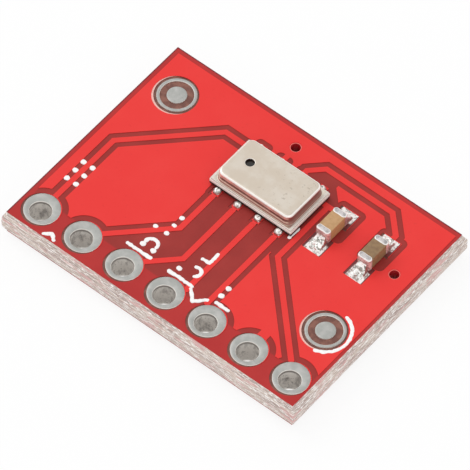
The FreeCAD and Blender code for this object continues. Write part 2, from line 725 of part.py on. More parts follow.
def rectangle(body, name, length, width):
    sketch = flat_sketch(body, name)
    corners = [Vector(-1, -1, 0), Vector(1, -1, 0), Vector(1, 1, 0), Vector(-1, 1, 0)]
    for place in range(4):
        sketch.addGeometry(Part.LineSegment(corners[place], corners[(place + 1) % 4]), False)
    for place in range(4):
        sketch.addConstraint(Sketcher.Constraint("Coincident", place, 2, (place + 1) % 4, 1))
    for side in (0, 2):
        sketch.addConstraint(Sketcher.Constraint("Horizontal", side))
        sketch.addConstraint(Sketcher.Constraint("Vertical", side + 1))
    sketch.addConstraint(Sketcher.Constraint("Symmetric", 0, 1, 1, 2, -1, 1))
    name_distance(sketch, "DistanceX", (0, 1, 0, 2), "length", length)
    name_distance(sketch, "DistanceY", (1, 1, 1, 2), "width", width)
    return sketch


# Lines 0 to 3 run round the outline and arcs 4 to 7 join each line to the next
def rounded_rectangle(body, name, length, width, radius):
    sketch = flat_sketch(body, name)
    far, near = 2.0, 1.5
    ends = [
        (Vector(-near, -far, 0), Vector(near, -far, 0)),
        (Vector(far, -near, 0), Vector(far, near, 0)),
        (Vector(near, far, 0), Vector(-near, far, 0)),
        (Vector(-far, near, 0), Vector(-far, -near, 0)),
    ]
    centres = [Vector(near, -near, 0), Vector(near, near, 0), Vector(-near, near, 0), Vector(-near, -near, 0)]
    for start, end in ends:
        sketch.addGeometry(Part.LineSegment(start, end), False)
    for place, centre in enumerate(centres):
        turn = (place - 1) * math.pi / 2
        ring = Part.Circle(centre, Vector(0, 0, 1), far - near)
        sketch.addGeometry(Part.ArcOfCircle(ring, turn, turn + math.pi / 2), False)
    for place in range(4):
        sketch.addConstraint(Sketcher.Constraint("Tangent", place, 2, place + 4, 1))
        sketch.addConstraint(Sketcher.Constraint("Tangent", place + 4, 2, (place + 1) % 4, 1))
    for place in (5, 6, 7):
        sketch.addConstraint(Sketcher.Constraint("Equal", 4, place))
    for side in (0, 2):
        sketch.addConstraint(Sketcher.Constraint("Horizontal", side))
        sketch.addConstraint(Sketcher.Constraint("Vertical", side + 1))
    sketch.addConstraint(Sketcher.Constraint("Symmetric", 4, 3, 6, 3, -1, 1))
    name_distance(sketch, "Radius", (4,), "radius", radius)
    name_distance(sketch, "DistanceX", (7, 3, 4, 3), "length", "%s - 2 * (%s)" % (length, radius))
    name_distance(sketch, "DistanceY", (4, 3, 5, 3), "width", "%s - 2 * (%s)" % (width, radius))
    return sketch


def circle(body, name, diameter, x, y):
    sketch = flat_sketch(body, name)
    sketch.addGeometry(Part.Circle(Vector(1, 1, 0), Vector(0, 0, 1), 1.0), False)
    name_distance(sketch, "Diameter", (0,), "diameter", diameter)
    sketch.setExpression("AttachmentOffset.Base.x", x)
    sketch.setExpression("AttachmentOffset.Base.y", y)
    sketch.addConstraint(Sketcher.Constraint("Coincident", 0, 3, -1, 1))
    return sketch


def pad(body, name, sketch, height):
    feature = body.newObject("PartDesign::Pad", name)
    feature.Profile = sketch
    feature.setExpression("Length", height)
    return feature


def pocket(body, name, sketch, depth, upward):
    feature = body.newObject("PartDesign::Pocket", name)
    feature.Profile = sketch
    feature.setExpression("Length", depth)
    feature.Reversed = upward
    return feature


def rounded(body, name, base, edges, radius):
    feature = body.newObject("PartDesign::Fillet", name)
    feature.Base = (base, edges)
    feature.setExpression("Radius", radius)
    return feature


def edges_where(feature, test):
    doc.recompute()
    return ["Edge%d" % (place + 1) for place, edge in enumerate(feature.Shape.Edges) if test(edge)]


def placed_body(name, x, y, z):
    body = doc.addObject("PartDesign::Body", name)
    body.setExpression("Placement.Base.x", x)
    body.setExpression("Placement.Base.y", y)
    body.setExpression("Placement.Base.z", z)
    return body


def is_upright(edge):
    return abs(edge.BoundBox.ZLength - edge.Length) < 1e-6


# Package base: a plain ceramic plate
base_body = placed_body("base_body", SENSOR_X, SENSOR_Y, BASE_BOTTOM)
plate = rectangle(base_body, "base_outline", "Sizes.sensor_length", "Sizes.sensor_width")
pad(base_body, "base_plate", plate, "Sizes.base_thickness")
sensor_base = keep(base_body, "sensor_base")

# Lid: a drawn metal cup with a flat rim and the pressure port
DOME_X = "Sizes.sensor_length - 2 * Sizes.dome_margin_x"
DOME_Y = "Sizes.sensor_width - 2 * Sizes.dome_margin_y"
lid_body = placed_body("lid_body", SENSOR_X, SENSOR_Y, LID_BOTTOM)
dome_outline = rectangle(lid_body, "dome_outline", DOME_X, DOME_Y)
dome = pad(lid_body, "dome", dome_outline, "Sizes.lid_height")
dome_rounded = rounded(lid_body, "dome_corners", dome, edges_where(dome, is_upright), "Sizes.dome_corner")
top_edges = edges_where(dome_rounded, lambda edge: edge.BoundBox.ZMin > size("lid_height") - 1e-6)
rounded(lid_body, "dome_top_edge", dome_rounded, top_edges, "Sizes.dome_edge")
INSIDE = (DOME_X + " - 2 * Sizes.lid_wall", DOME_Y + " - 2 * Sizes.lid_wall",
          "Sizes.dome_corner - Sizes.lid_wall")
RIM_X = "Sizes.sensor_length - 2 * Sizes.rim_setback"
RIM_Y = "Sizes.sensor_width - 2 * Sizes.rim_setback"
rim = pad(lid_body, "rim", rectangle(lid_body, "rim_outline", RIM_X, RIM_Y), "Sizes.rim_thickness")
inside = rounded_rectangle(lid_body, "inside_outline", *INSIDE)
pocket(lid_body, "inside", inside, "Sizes.lid_height - Sizes.lid_wall", True)
port = circle(lid_body, "port_outline", "Sizes.vent_hole", "Sizes.vent_x", "Sizes.vent_y")
pocket(lid_body, "port", port, "Sizes.lid_height", True)
keep(lid_body, "sensor_lid")
doc.recompute()


# Blocks inside and under the package
def package_block(name, length, width, height, x="0", y="0", z=BASE_TOP):
    return block(name, length, width, height, "%s + %s" % (SENSOR_X, x), "%s + %s" % (SENSOR_Y, y), z)


seal_ring = less(
    "seal_ring",
    package_block("seal_outer", RIM_X, RIM_Y, "Sizes.seal_thickness"),
    package_block("seal_inner", RIM_X + " - 2 * Sizes.seal_width", RIM_Y + " - 2 * Sizes.seal_width",
                  "Sizes.seal_thickness"),
)
keep(seal_ring, "lid_seal")
ATTACH_TOP = "(%s + Sizes.attach_thickness)" % BASE_TOP
PEDESTAL_TOP = "(%s + Sizes.pedestal_height)" % ATTACH_TOP
inner_parts = [
    package_block("die_glue", "Sizes.die_side", "Sizes.die_side", "Sizes.attach_thickness", DIE_X),
    package_block("glass", "Sizes.die_side", "Sizes.die_side", "Sizes.pedestal_height", DIE_X,
                  z=ATTACH_TOP),
    package_block("silicon", "Sizes.die_side", "Sizes.die_side", "Sizes.die_thickness", DIE_X,
                  z=PEDESTAL_TOP),
    package_block("converter_glue", "Sizes.converter_length", "Sizes.converter_width",
                  "Sizes.attach_thickness", CONVERTER_X),
    package_block("converter", "Sizes.converter_length", "Sizes.converter_width",
                  "Sizes.converter_thickness", CONVERTER_X, z=ATTACH_TOP),
]
inner_labels = ("pedestal_adhesive", "glass_pedestal", "pressure_die", "converter_adhesive", "converter_die")
for solid, label in zip(inner_parts, inner_labels):
    keep(solid, label)
doc.recompute()


# Bond wire: up from one pad, over in a flat loop and down to the other
def bond_wire(x1, z1, x2, z2, y):
    crest = max(z1, z2) + size("wire_loop")
    bend = 2 * size("wire_diameter")
    diagonal = bend * (1 - math.sqrt(0.5))
    first = Part.Arc(Vector(x1, y, crest - bend), Vector(x1 + diagonal, y, crest - diagonal),
                     Vector(x1 + bend, y, crest))
    second = Part.Arc(Vector(x2 - bend, y, crest), Vector(x2 - diagonal, y, crest - diagonal),
                      Vector(x2, y, crest - bend))
    path = Part.Wire([
        Part.LineSegment(Vector(x1, y, z1), Vector(x1, y, crest - bend)).toShape(),
        first.toShape(),
        Part.LineSegment(Vector(x1 + bend, y, crest), Vector(x2 - bend, y, crest)).toShape(),
        second.toShape(),
        Part.LineSegment(Vector(x2, y, crest - bend), Vector(x2, y, z2)).toShape(),
    ])
    section = Part.Wire([Part.makeCircle(size("wire_diameter") / 2, Vector(x1, y, z1), Vector(0, 0, 1))])
    return path.makePipeShell([section], True, False)


attach_top = base_top + size("attach_thickness")
die_top = attach_top + size("pedestal_height") + size("die_thickness")
converter_top = attach_top + size("converter_thickness")
inside_x = size("sensor_length") / 2 - size("dome_margin_x") - size("lid_wall")
die_bond_x = sensor_x - inside_x + size("die_gap") + size("die_side") - size("wire_inset")
base_bond_x = sensor_x + inside_x - size("bond_gap")
converter_right = base_bond_x - size("wire_reach")
converter_left = converter_right - size("converter_length")
wires = []
for place in range(int(size("wire_count"))):
    y = sensor_y + (place - (size("wire_count") - 1) / 2) * size("wire_pitch")
    wires.append(bond_wire(die_bond_x, die_top, converter_left + 2 * size("wire_inset"), converter_top, y))
    wires.append(bond_wire(converter_right - size("wire_inset"), converter_top, base_bond_x, base_top, y))
shaped("bond_wires", Part.makeCompound(wires))

# Soft gel that fills the package round the dies
gel_x = size("sensor_length") - 2 * (size("dome_margin_x") + size("lid_wall") + size("gel_gap"))
gel_y = size("sensor_width") - 2 * (size("dome_margin_y") + size("lid_wall") + size("gel_gap"))
gel_top = lid_bottom + size("lid_height") - size("lid_wall") - size("gel_gap")
gel = slab(sensor_x, sensor_y, gel_x, gel_y, base_top, gel_top)
gel_corners = [edge for edge in gel.Edges if is_upright(edge)]
gel = gel.makeFillet(size("dome_corner") - size("lid_wall"), gel_corners)
shaped("package_gel", gel.cut([solid.Shape for solid in inner_parts] + wires))

# Solder ends inside its pad, where neither the pad's edge nor the mask comes first
slip = max(abs(size("mask_shift_x")), abs(size("mask_shift_y"))) - size("mask_gap")
solder_inset = size("solder_margin") + max(0.0, slip)

# Contacts under the package and the solder joints that hold them to the board
contact_width = size("land_width") - 2 * size("contact_inset")
contacts = []
joints = {}
for row, edge_y, inward in (("front", front_edge, 1), ("back", back_edge, -1)):
    for land in LANDS:
        middle_y = edge_y + inward * size("contact_length") / 2
        contacts.append(slab(land_x(land), middle_y, contact_width, size("contact_length"),
                             contact_bottom, base_bottom))
        under = slab(land_x(land), middle_y, contact_width, size("contact_length"), copper_top,
                     contact_bottom)
        ball_y = edge_y - inward * (size("land_reach") - solder_inset - size("ball_diameter") / 2)
        ball = Part.makeSphere(size("ball_diameter") / 2, Vector(land_x(land), ball_y, contact_bottom))
        above = slab(land_x(land), ball_y, size("land_length"), size("land_length"), copper_top, base_top)
        solder = under.fuse(ball.common(above)).cut([sensor_base.Shape] + contacts)
        joints["sensor_joint_%s_%d" % (row, land)] = solder
shaped("package_contacts", Part.makeCompound(contacts))
for label, solder in joints.items():
    shaped(label, solder)


# Chip capacitor: a ceramic body with a metal cup on each end, lying along Y
def capacitor(side):
    x = CHIP_X[side]
    y = CHIP_Y
    body = block(
        side + "_ceramic",
        "Sizes.chip_width - 2 * Sizes.end_plating",
        "Sizes.chip_length - 2 * Sizes.end_plating",
        "Sizes.chip_height - 2 * Sizes.end_plating",
        x, y, "%s + Sizes.end_plating" % CHIP_BOTTOM,
    )
    keep(body, "capacitor_%s_body" % side)
    for end, sign in (("front", "-"), ("back", "+")):
        end_y = "%s %s (Sizes.chip_length - Sizes.end_band) / 2" % (y, sign)
        outside = block("%s_%s_outside" % (side, end), "Sizes.chip_width", "Sizes.end_band",
                        "Sizes.chip_height", x, end_y, CHIP_BOTTOM)
        doc.recompute()
        soft = doc.addObject("Part::Fillet", "%s_%s_soft" % (side, end))
        soft.Base = outside
        radius = size("end_edge")
        outer_y = outside.Shape.BoundBox.YMin if end == "front" else outside.Shape.BoundBox.YMax
        inner_y = outside.Shape.BoundBox.YMax if end == "front" else outside.Shape.BoundBox.YMin
        chosen = []
        for place, edge in enumerate(outside.Shape.Edges):
            on_inner = abs(edge.BoundBox.YMin - inner_y) < 1e-6 and abs(edge.BoundBox.YMax - inner_y) < 1e-6
            if not on_inner:
                chosen.append((place + 1, radius, radius))
        soft.Edges = chosen
        keep(less("%s_%s_cup" % (side, end), soft, body), "capacitor_%s_end_%s" % (side, end))


# Solder under a capacitor end, drawn up its face in a hollow curve
def capacitor_solder(x, outward):
    face = capacitor_y + outward * size("chip_length") / 2
    pad_y = capacitor_y + outward * size("chip_pad_centres") / 2
    toe = pad_y + outward * (size("chip_pad_length") / 2 - solder_inset)
    pad_heel = (size("chip_pad_centres") - size("chip_pad_length")) / 2 + solder_inset
    heel = face - outward * min(size("end_band"), size("chip_length") / 2 - pad_heel)
    rise = chip_bottom + size("fillet_height")
    foot = copper_top + size("toe_height")
    waist = Vector(x, face + (toe - face) * 0.35, foot + (rise - foot) * 0.3)
    points = [
        Vector(x, toe, copper_top),
        Vector(x, heel, copper_top),
        Vector(x, heel, chip_bottom),
        Vector(x, face, chip_bottom),
        Vector(x, face, rise),
    ]
    lines = [Part.LineSegment(points[place], points[place + 1]).toShape() for place in range(4)]
    hollow_curve = Part.Arc(points[4], waist, Vector(x, toe, foot)).toShape()
    close = Part.LineSegment(Vector(x, toe, foot), points[0]).toShape()
    profile = Part.Face(Part.Wire(lines + [hollow_curve, close]))
    width = size("chip_width")
    profile.translate(Vector(-width / 2, 0, 0))
    return profile.extrude(Vector(width, 0, 0))


for side, x in capacitors.items():
    capacitor(side)
    for end, outward in (("front", -1), ("back", 1)):
        shaped("capacitor_%s_solder_%s" % (side, end), capacitor_solder(x, outward))

# Every object is checked before anything is written
doc.recompute()
for thing in doc.Objects:
    if "Invalid" in thing.State or "Error" in thing.State:
        raise RuntimeError("%s did not build" % thing.Label)
for thing in parts:
    if thing.Shape.isNull() or not thing.Shape.isValid() or not thing.Shape.Solids:
        raise RuntimeError("%s is not a sound solid" % thing.Label)

os.makedirs("parts", exist_ok=True)
for thing in parts:
    thing.Shape.exportStep("parts/%s.step" % thing.Label)
    box = thing.Shape.BoundBox
    print("%-26s %d solid(s) %8.4f mm3  z %.3f to %.3f"
          % (thing.Label, len(thing.Shape.Solids), thing.Shape.Volume, box.ZMin, box.ZMax))
print(len(parts), "sub-parts")
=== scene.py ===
import bpy
import math
from mathutils import Matrix, Vector, geometry, noise


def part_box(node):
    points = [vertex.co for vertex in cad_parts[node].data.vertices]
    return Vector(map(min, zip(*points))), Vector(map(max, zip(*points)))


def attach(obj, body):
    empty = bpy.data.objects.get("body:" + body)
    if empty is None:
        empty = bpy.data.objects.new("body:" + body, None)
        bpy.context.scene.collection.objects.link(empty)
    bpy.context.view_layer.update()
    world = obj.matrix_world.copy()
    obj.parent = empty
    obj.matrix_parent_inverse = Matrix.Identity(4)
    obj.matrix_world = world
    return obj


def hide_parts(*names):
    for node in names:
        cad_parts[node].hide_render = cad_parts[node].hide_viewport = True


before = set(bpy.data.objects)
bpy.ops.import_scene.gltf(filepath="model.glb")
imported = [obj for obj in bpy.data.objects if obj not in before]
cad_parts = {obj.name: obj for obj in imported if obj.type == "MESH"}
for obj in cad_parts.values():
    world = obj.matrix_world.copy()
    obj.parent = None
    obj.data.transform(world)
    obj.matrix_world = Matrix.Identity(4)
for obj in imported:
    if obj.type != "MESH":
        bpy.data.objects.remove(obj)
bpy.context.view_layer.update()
mm = 0.001


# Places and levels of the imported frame, in millimetres
def nodeBox(node):
    low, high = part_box(node)
    return low / mm, high / mm


def middle(node):
    low, high = nodeBox(node)
    return (low + high) / 2


laminateLow, laminateHigh = nodeBox("laminate")
filmLow, filmHigh = nodeBox("solder_mask_top")
pourLow, pourHigh = nodeBox("ground_pour_bottom")
baseLow, baseHigh = nodeBox("sensor_base")
sensorMiddle = middle("sensor_base")
bareTop = laminateHigh.z
copperTop = nodeBox("ground_pour_back")[1].z
ringTop = nodeBox("header_hole_1")[1].z
pinX = {pin: middle("header_hole_%d" % pin).x for pin in range(1, 8)}
rowY = -5.2  # middles of the header rings
holeY = -5.34  # middles of their holes, drilled off centre
vias = ("back_via", "side_via")
sides = ("left", "right")  # of the capacitors and of the fiducial targets
print("frame read, board", [round(value, 2) for value in laminateHigh - laminateLow])


# One socket of a shader, on which sums are written as Python expressions
class Wire:
    def __init__(self, paint, socket):
        self.paint = paint
        self.socket = socket

    def maths(self, operation, *values):
        return self.paint.node("Math", {"operation": operation}, dict(enumerate(values)))

    def __add__(self, other):
        return self.maths("ADD", self, other)

    def __radd__(self, other):
        return self.maths("ADD", other, self)

    def __sub__(self, other):
        return self.maths("SUBTRACT", self, other)

    def __rsub__(self, other):
        return self.maths("SUBTRACT", other, self)

    def __mul__(self, other):
        return self.maths("MULTIPLY", self, other)

    def __rmul__(self, other):
        return self.maths("MULTIPLY", other, self)

    def __pow__(self, other):
        return self.maths("POWER", self, other)

    def __abs__(self):
        return self.maths("ABSOLUTE", self)

    def larger(self, other):
        return self.maths("MAXIMUM", self, other)


# Colour of a look, 0 to 255, as the shaders take it
def linear(tone):
    parts = [value / 255 for value in tone]
    return [part / 12.92 if part < 0.04045 else ((part + 0.055) / 1.055) ** 2.4 for part in parts]


# A node tree being written: a material or the world
class Paint:
    def __init__(self, tree):
        self.tree = tree
        self.tree.nodes.clear()

    def node(self, kind, settings=None, values=None, output=0):
        made = self.tree.nodes.new("ShaderNode" + kind)
        for name, value in (settings or {}).items():
            setattr(made, name, value)
        for name, value in (values or {}).items():
            if isinstance(value, Wire):
                self.tree.links.new(value.socket, made.inputs[name])
            elif made.inputs[name].type == "RGBA" and len(value) == 3:
                made.inputs[name].default_value = (*value, 1)
            else:
                made.inputs[name].default_value = value
        return Wire(self, made.outputs[output]) if len(made.outputs) else made

    def place(self, stretch=(1, 1, 1)):
        where = self.node("TexCoord", output="Object")
        size = [value / mm for value in stretch]
        return self.node("VectorMath", {"operation": "MULTIPLY"}, {0: where, 1: size})

    def axis(self, name):
        return self.node("SeparateXYZ", {}, {0: self.place()}, output=name)

    def grain(self, scale, detail, stretch=(1, 1, 1), roughness=0.5, warp=0.0):
        values = {"Vector": self.place(stretch), "Scale": scale, "Detail": detail,
                  "Roughness": roughness, "Distortion": warp}
        return self.node("TexNoise", {}, values)

    def step(self, value, low, high):
        values = {"Value": value, "From Min": low, "From Max": high, "To Min": 0.0, "To Max": 1.0}
        return self.node("MapRange", {"interpolation_type": "SMOOTHSTEP"}, values)

    # Zero before a place and one past it, with a soft edge on either side
    def past(self, value, place, soft):
        return self.step(value, place - soft, place + soft)

    # One between two soft edges, each given by its ends
    def band(self, value, rise, fall):
        return self.step(value, *rise) * (1 - self.step(value, *fall))

    # One in a rectangle round a spot, with soft edges outside it
    def patch(self, spot, half, soft):
        inside = 1.0
        for place, name in enumerate("XY"):
            away = abs(self.axis(name) - spot[place])
            inside = inside * (1 - self.step(away, half[place], half[place] + soft[place]))
        return inside

    # Each tone is a wire or a colour of a look
    def mix(self, factor, first, second):
        first, second = [tone if isinstance(tone, Wire) else linear(tone) for tone in (first, second)]
        return self.node("Mix", {"data_type": "RGBA"}, {0: factor, 6: first, 7: second}, output=2)

    def outward(self, axis, name="Normal"):
        return self.node("SeparateXYZ", {}, {0: self.node("NewGeometry", output=name)}, output=axis)

    def facing(self, low, high, name="Normal"):
        return self.step(self.outward("Z", name), low, high)

    def bump(self, height, depth, strength):
        values = {"Strength": strength, "Distance": depth * mm, "Height": height}
        return self.node("Bump", {}, values)


# A finish: what varies is linked, what is constant is set on the shader itself
def finish(name, build, **constants):
    material = bpy.data.materials.new(name)
    material.use_nodes = True
    paint = Paint(material.node_tree)
    values = build(paint)
    values.update({key.replace("_", " "): value for key, value in constants.items()})
    shader = paint.node("BsdfPrincipled", {}, values)
    paint.node("OutputMaterial", {}, {"Surface": shader})
    return material


def addObject(name, data):
    made = bpy.data.objects.new(name, data)
    bpy.context.scene.collection.objects.link(made)
    return made


# A mesh as one piece of the model, which stands for nodes of the frame
def addPiece(name, mesh, material, slot, nodes):
    mesh.materials.clear()
    mesh.materials.append(material)
    piece = addObject(name, mesh)
    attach(piece, "root")
    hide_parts(*nodes)
    return piece


# A piece made of points in millimetres, smooth up to an angle in degrees
def meshPiece(name, points, faces, material, slot, nodes, sharp):
    mesh = bpy.data.meshes.new(name)
    mesh.from_pydata([Vector(point) * mm for point in points], [], faces)
    mesh.validate()
    for polygon in mesh.polygons:
        polygon.use_smooth = True
    mesh.set_sharp_from_angle(angle=math.radians(sharp))
    addPiece(name, mesh, material, slot, nodes)


# Walls between loops of equal length, each the next one's neighbour
def bridge(rows, count, closed=False, start=0):
    faces = []
    for row in range(rows if closed else rows - 1):
        first = start + row * count
        second = start + (row + 1) % rows * count
        for place in range(count):
            after = (place + 1) % count
            faces.append((first + place, first + after, second + after, second + place))
    return faces


# Faces over the first and the last of such loops
def endCaps(total, count):
    return [tuple(range(count))[::-1], tuple(range(total - count, total))]


# Whether a point lies in a loop
def within(point, loop):
    inside = False
    for place, start in enumerate(loop):
        end = loop[(place + 1) % len(loop)]
        if (start[1] > point[1]) != (end[1] > point[1]):
            across = (end[0] - start[0]) * (point[1] - start[1]) / (end[1] - start[1]) + start[0]
            if point[0] < across:
                inside = not inside
    return inside


# Triangles of a flat region between an outline and its holes
def fill(outline, holes):
    points, edges = [], []
    for loop in (outline, *holes):
        first = len(points)
        points += [Vector(point[:2]) for point in loop]
        edges += [(first + place, first + (place + 1) % len(loop)) for place in range(len(loop))]
    samePoint = 1e-7
    result = geometry.delaunay_2d_cdt(points, edges, [], 1, samePoint, True)
    spots, found, sources = result[0], result[2], result[3]
    triangles = []
    for face in found:
        centre = sum((spots[corner] for corner in face), Vector((0, 0))) / len(face)
        if within(centre, outline) and not any(within(centre, hole) for hole in holes):
            triangles.append(tuple(sources[corner][0] for corner in face))
    return triangles


# Flat faces between a loop and its holes, all given as places in the list of points
def cover(points, loop, holes, upward):
    runs = (loop, *holes)
    own = [place for run in runs for place in run]
    outline, *openings = [[points[place] for place in run] for run in runs]
    faces = [tuple(own[corner] for corner in triangle) for triangle in fill(outline, openings)]
    return faces if upward else [face[::-1] for face in faces]


# Points along a circle, from one angle through another, in degrees
def arcPath(x, y, radius, start, sweep, count):
    angles = [math.radians(start + sweep * step / count) for step in range(count + 1)]
    return [(x + radius * math.cos(angle), y + radius * math.sin(angle)) for angle in angles]


def circle(x, y, radius, count):
    return arcPath(x, y, radius, 0, 360, count)[:-1]


# Points between two others, without those two
def between(start, end, count):
    shares = [step / count for step in range(1, count)]
    return [tuple(low + (high - low) * share for low, high in zip(start, end)) for share in shares]


# Rounded rectangle. Each point has its place, its way out and the signs of its corner
def roundedOutline(halfX, halfY, radii, corner, sideCount):
    arcs = []
    for turn, (signX, signY) in enumerate(((1, -1), (1, 1), (-1, 1), (-1, -1))):
        radius = radii[turn]
        middleX, middleY = signX * (halfX - radius), signY * (halfY - radius)
        arcs.append([(middleX + radius * outX, middleY + radius * outY, outX, outY, signX, signY)
                     for outX, outY in arcPath(0, 0, 1, 90 * turn - 90, 90, corner)])
    loop = []
    for arc, following in zip(arcs, arcs[1:] + arcs[:1]):
        start, end = arc[-1], following[0]
        loop += arc + between(start, end, sideCount(math.dist(start[:2], end[:2])))
    return loop


def roundedLoop(halfX, halfY, radius, corner=10, side=6):
    outline = roundedOutline(halfX, halfY, [radius] * 4, corner, lambda length: side)
    return [point[:2] for point in outline]


# Points of rounded loops above each other, a row has its half sizes, corner and height
def stack(centre, rows, corner=10, side=6):
    return [(centre.x + x, centre.y + y, z) for halfX, halfY, radius, z in rows
            for x, y in roundedLoop(halfX, halfY, radius, corner, side)]


def wave(x, y, z, scale, seed):
    return noise.noise(Vector((x * scale + seed, y * scale - seed, z * scale + 2 * seed)))


def smooth(value, low, high):
    share = min(1.0, max(0.0, (value - low) / (high - low)))
    return share * share * (3 - 2 * share)


# Board finish: pale snapped glass fibre on the sides, brown where the top is bare
boardLook = {
    "side": (216, 200, 188),
    "sideDark": (172, 150, 144),
    "sidePink": (222, 168, 166),
    "sidePale": (255, 250, 246),
    # painted shade along the bottom of the sides
    "underShadeLine": (134, 100, 90),
    "bare": (112, 70, 60),
    "barePale": (142, 94, 80),
    "stained": (150, 52, 48),  # bare top near the sensor
    "stainedHalf": (2.5, 2.3),
    "stainedFrom": (1.0, 1.1),
    "underShadeLineTo": (0.08, 0.2),
}


def paintLaminate(paint):
    streak = paint.grain(1.0, 3.0, (0.5, 0.5, 13.0), 0.6)
    fine = paint.grain(1.0, 4.0, (3.4, 3.4, 30.0), 0.65)
    cloud = paint.grain(1.0, 3.0, (0.8, 0.8, 5.0), 0.5)
    weave = paint.grain(3.0, 2.0)
    height = paint.axis("Z")
    side = paint.mix(paint.step(streak, 0.36, 0.6), boardLook["sideDark"], boardLook["side"])
    side = paint.mix(paint.step(fine, 0.5, 0.6), side, boardLook["sidePale"])
    side = paint.mix(paint.step(cloud, 0.52, 0.66) * 0.7, side, boardLook["sidePink"])
    side = paint.mix(paint.step(1 - fine, 0.6, 0.74) * 0.6, side, boardLook["sideDark"])
    # Painted shade: the sides turn darker along their bottom, where the lower scored face turns down
    line = 1 - paint.step(height, *boardLook["underShadeLineTo"])
    side = paint.mix(line * 0.75, side, boardLook["underShadeLine"])
    bare = paint.mix(paint.step(weave, 0.4, 0.7), boardLook["bare"], boardLook["barePale"])
    near = paint.patch(sensorMiddle, boardLook["stainedHalf"], (0.1, 0.1))
    near = near * paint.step(height, *boardLook["stainedFrom"])
    bare = paint.mix(near, bare, boardLook["stained"])
    flat = paint.facing(0.86, 0.94, "True Normal") + 1 - paint.facing(-0.94, -0.86, "True Normal")
    relief = paint.bump(streak + fine * 0.8, 0.024, 0.9)
    return {"Base Color": paint.mix(flat, side, bare), "Roughness": 0.55 + streak * 0.25, "Normal": relief}


laminateFinish = finish("glassFibre", paintLaminate, Metallic=0.0)

# Board body: the snapped and scored edge strip, the bare faces and the drilled walls
boardBody = {
    "corners": (0.05, 0.08, 0.06, 0.2),  # right front, right back, left back, left front
    "spacing": 0.06,
    "rows": 26,
    "scoreDepth": 0.5,
    "recess": 0.25,
    "webRough": 0.05,
    "sawRough": 0.012,
    "brokenEdge": 0.012,
    "drillRadius": 0.6,
    "viaRadius": 0.28,
}


# How far the side of the board stands in from the web at one height, and how rough it is there
def sideInset(x, y, z):
    fromFace = min(z - laminateLow.z, bareTop - z)
    score = boardBody["scoreDepth"]
    inset = boardBody["recess"] * (1 - min(1.0, fromFace / score))
    onWeb = smooth(fromFace, score - 0.08, score + 0.04)
    tufts = 0.5 + 0.5 * wave(x, y, z, 3.1, 4.0) + 0.35 * wave(x, y, 3 * z, 9.0, 8.0)
    saw = 0.5 + 0.5 * wave(0.25 * x, 0.25 * y, 7 * z, 4.0, 2.0)
    rough = onWeb * boardBody["webRough"] * max(0.0, tufts) + (1 - onWeb) * boardBody["sawRough"] * saw
    return inset + boardBody["brokenEdge"] * (1 - smooth(fromFace, 0.0, 0.03)), rough


def makeBoard():
    outline = roundedOutline(laminateHigh.x, laminateHigh.y, boardBody["corners"], 8,
                             lambda length: int(length / boardBody["spacing"]))
    count, rows = len(outline), boardBody["rows"]
    points = []
    for row in range(rows):
        z = laminateLow.z + (bareTop - laminateLow.z) * row / (rows - 1)
        for x, y, outX, outY, pullX, pullY in outline:
            inset, rough = sideInset(x, y, z)
            points.append((x - pullX * inset - outX * rough, y - pullY * inset - outY * rough, z))
    faces = bridge(rows, count)
    drills = [circle(x, holeY, boardBody["drillRadius"], 64) for x in pinX.values()]
    drills += [circle(middle(via).x, middle(via).y, boardBody["viaRadius"], 32) for via in vias]
    levels = []
    for row, z in ((0, laminateLow.z), (rows - 1, bareTop)):
        holes = []
        for hole in drills:
            holes.append(range(len(points), len(points) + len(hole)))
            points += [(x, y, z) for x, y in hole]
        faces += cover(points, range(row * count, (row + 1) * count), holes, row > 0)
        levels.append(holes)
    for low, high in zip(*levels):
        for step in range(len(low)):
            after = (step + 1) % len(low)
            faces.append((low[after], low[step], high[step], high[after]))
    meshPiece("boardBody", points, faces, laminateFinish, "laminate", ("laminate",), 50)


makeBoard()
print("board body made")

# Solder mask: bright over copper, darker where only laminate is below
maskLook = {
    "bright": (237, 57, 54),
    "groove": (153, 48, 44),
    "strip": (180, 46, 45),  # where the underside has no pour either
    # painted shade along the back and left edges of the board
    "rim": (104, 40, 46),
    "haze": (250, 92, 84),
    "speck": (120, 30, 30),
    "overCopper": (0.033, 0.05),  # height over the laminate where the film turns bright
    "edgeShadeBand": (0.04, 0.09),
    "softEdge": 0.006,
}


def paintMask(paint):
    height, alongX, alongY = [paint.axis(name) for name in "ZXY"]
    cloud = paint.grain(0.55, 3.0)
    speck = paint.grain(7.0, 3.0)
    low, high = maskLook["overCopper"]
    underSide = 1 - paint.step(height, 0.3, 0.6)
    below = underSide * (1 - paint.step(height, laminateLow.z - high, laminateLow.z - low))
    raised = paint.step(height, bareTop + low, bareTop + high) + below
    overPour = paint.past(alongY, pourLow.y, 0.06) * (1 - paint.past(alongY, pourHigh.y, 0.04))
    overPour = overPour * paint.past(alongX, pourLow.x, 0.04) * (1 - paint.past(alongX, pourHigh.x, 0.04))
    dark = paint.mix(overPour, maskLook["strip"], maskLook["groove"])
    tone = paint.mix(raised, dark, maskLook["bright"])
    tone = paint.mix(paint.step(cloud, 0.35, 0.75) * 0.18, tone, paint.mix(0.5, tone, maskLook["haze"]))
    tone = paint.mix(paint.step(speck, 0.6, 0.8) * 0.08, tone, maskLook["speck"])
    # Painted shade: the film turns dark along the back and left edges, where the scored face turns away
    near, far = maskLook["edgeShadeBand"]
    rim = paint.step(alongY, filmHigh.y - far, filmHigh.y - near)
    rim = rim.larger(1 - paint.step(alongX, filmLow.x + near, filmLow.x + far))
    tone = paint.mix(rim * 0.8, tone, maskLook["rim"])
    relief = paint.bump(speck * 0.4 + cloud, 0.004, 0.5)
    return {"Base Color": tone, "Roughness": 0.36 + speck * 0.16, "Normal": relief}


maskFinish = finish("redSolderMask", paintMask, Metallic=0.0, IOR=1.45, Specular_IOR_Level=0.25)


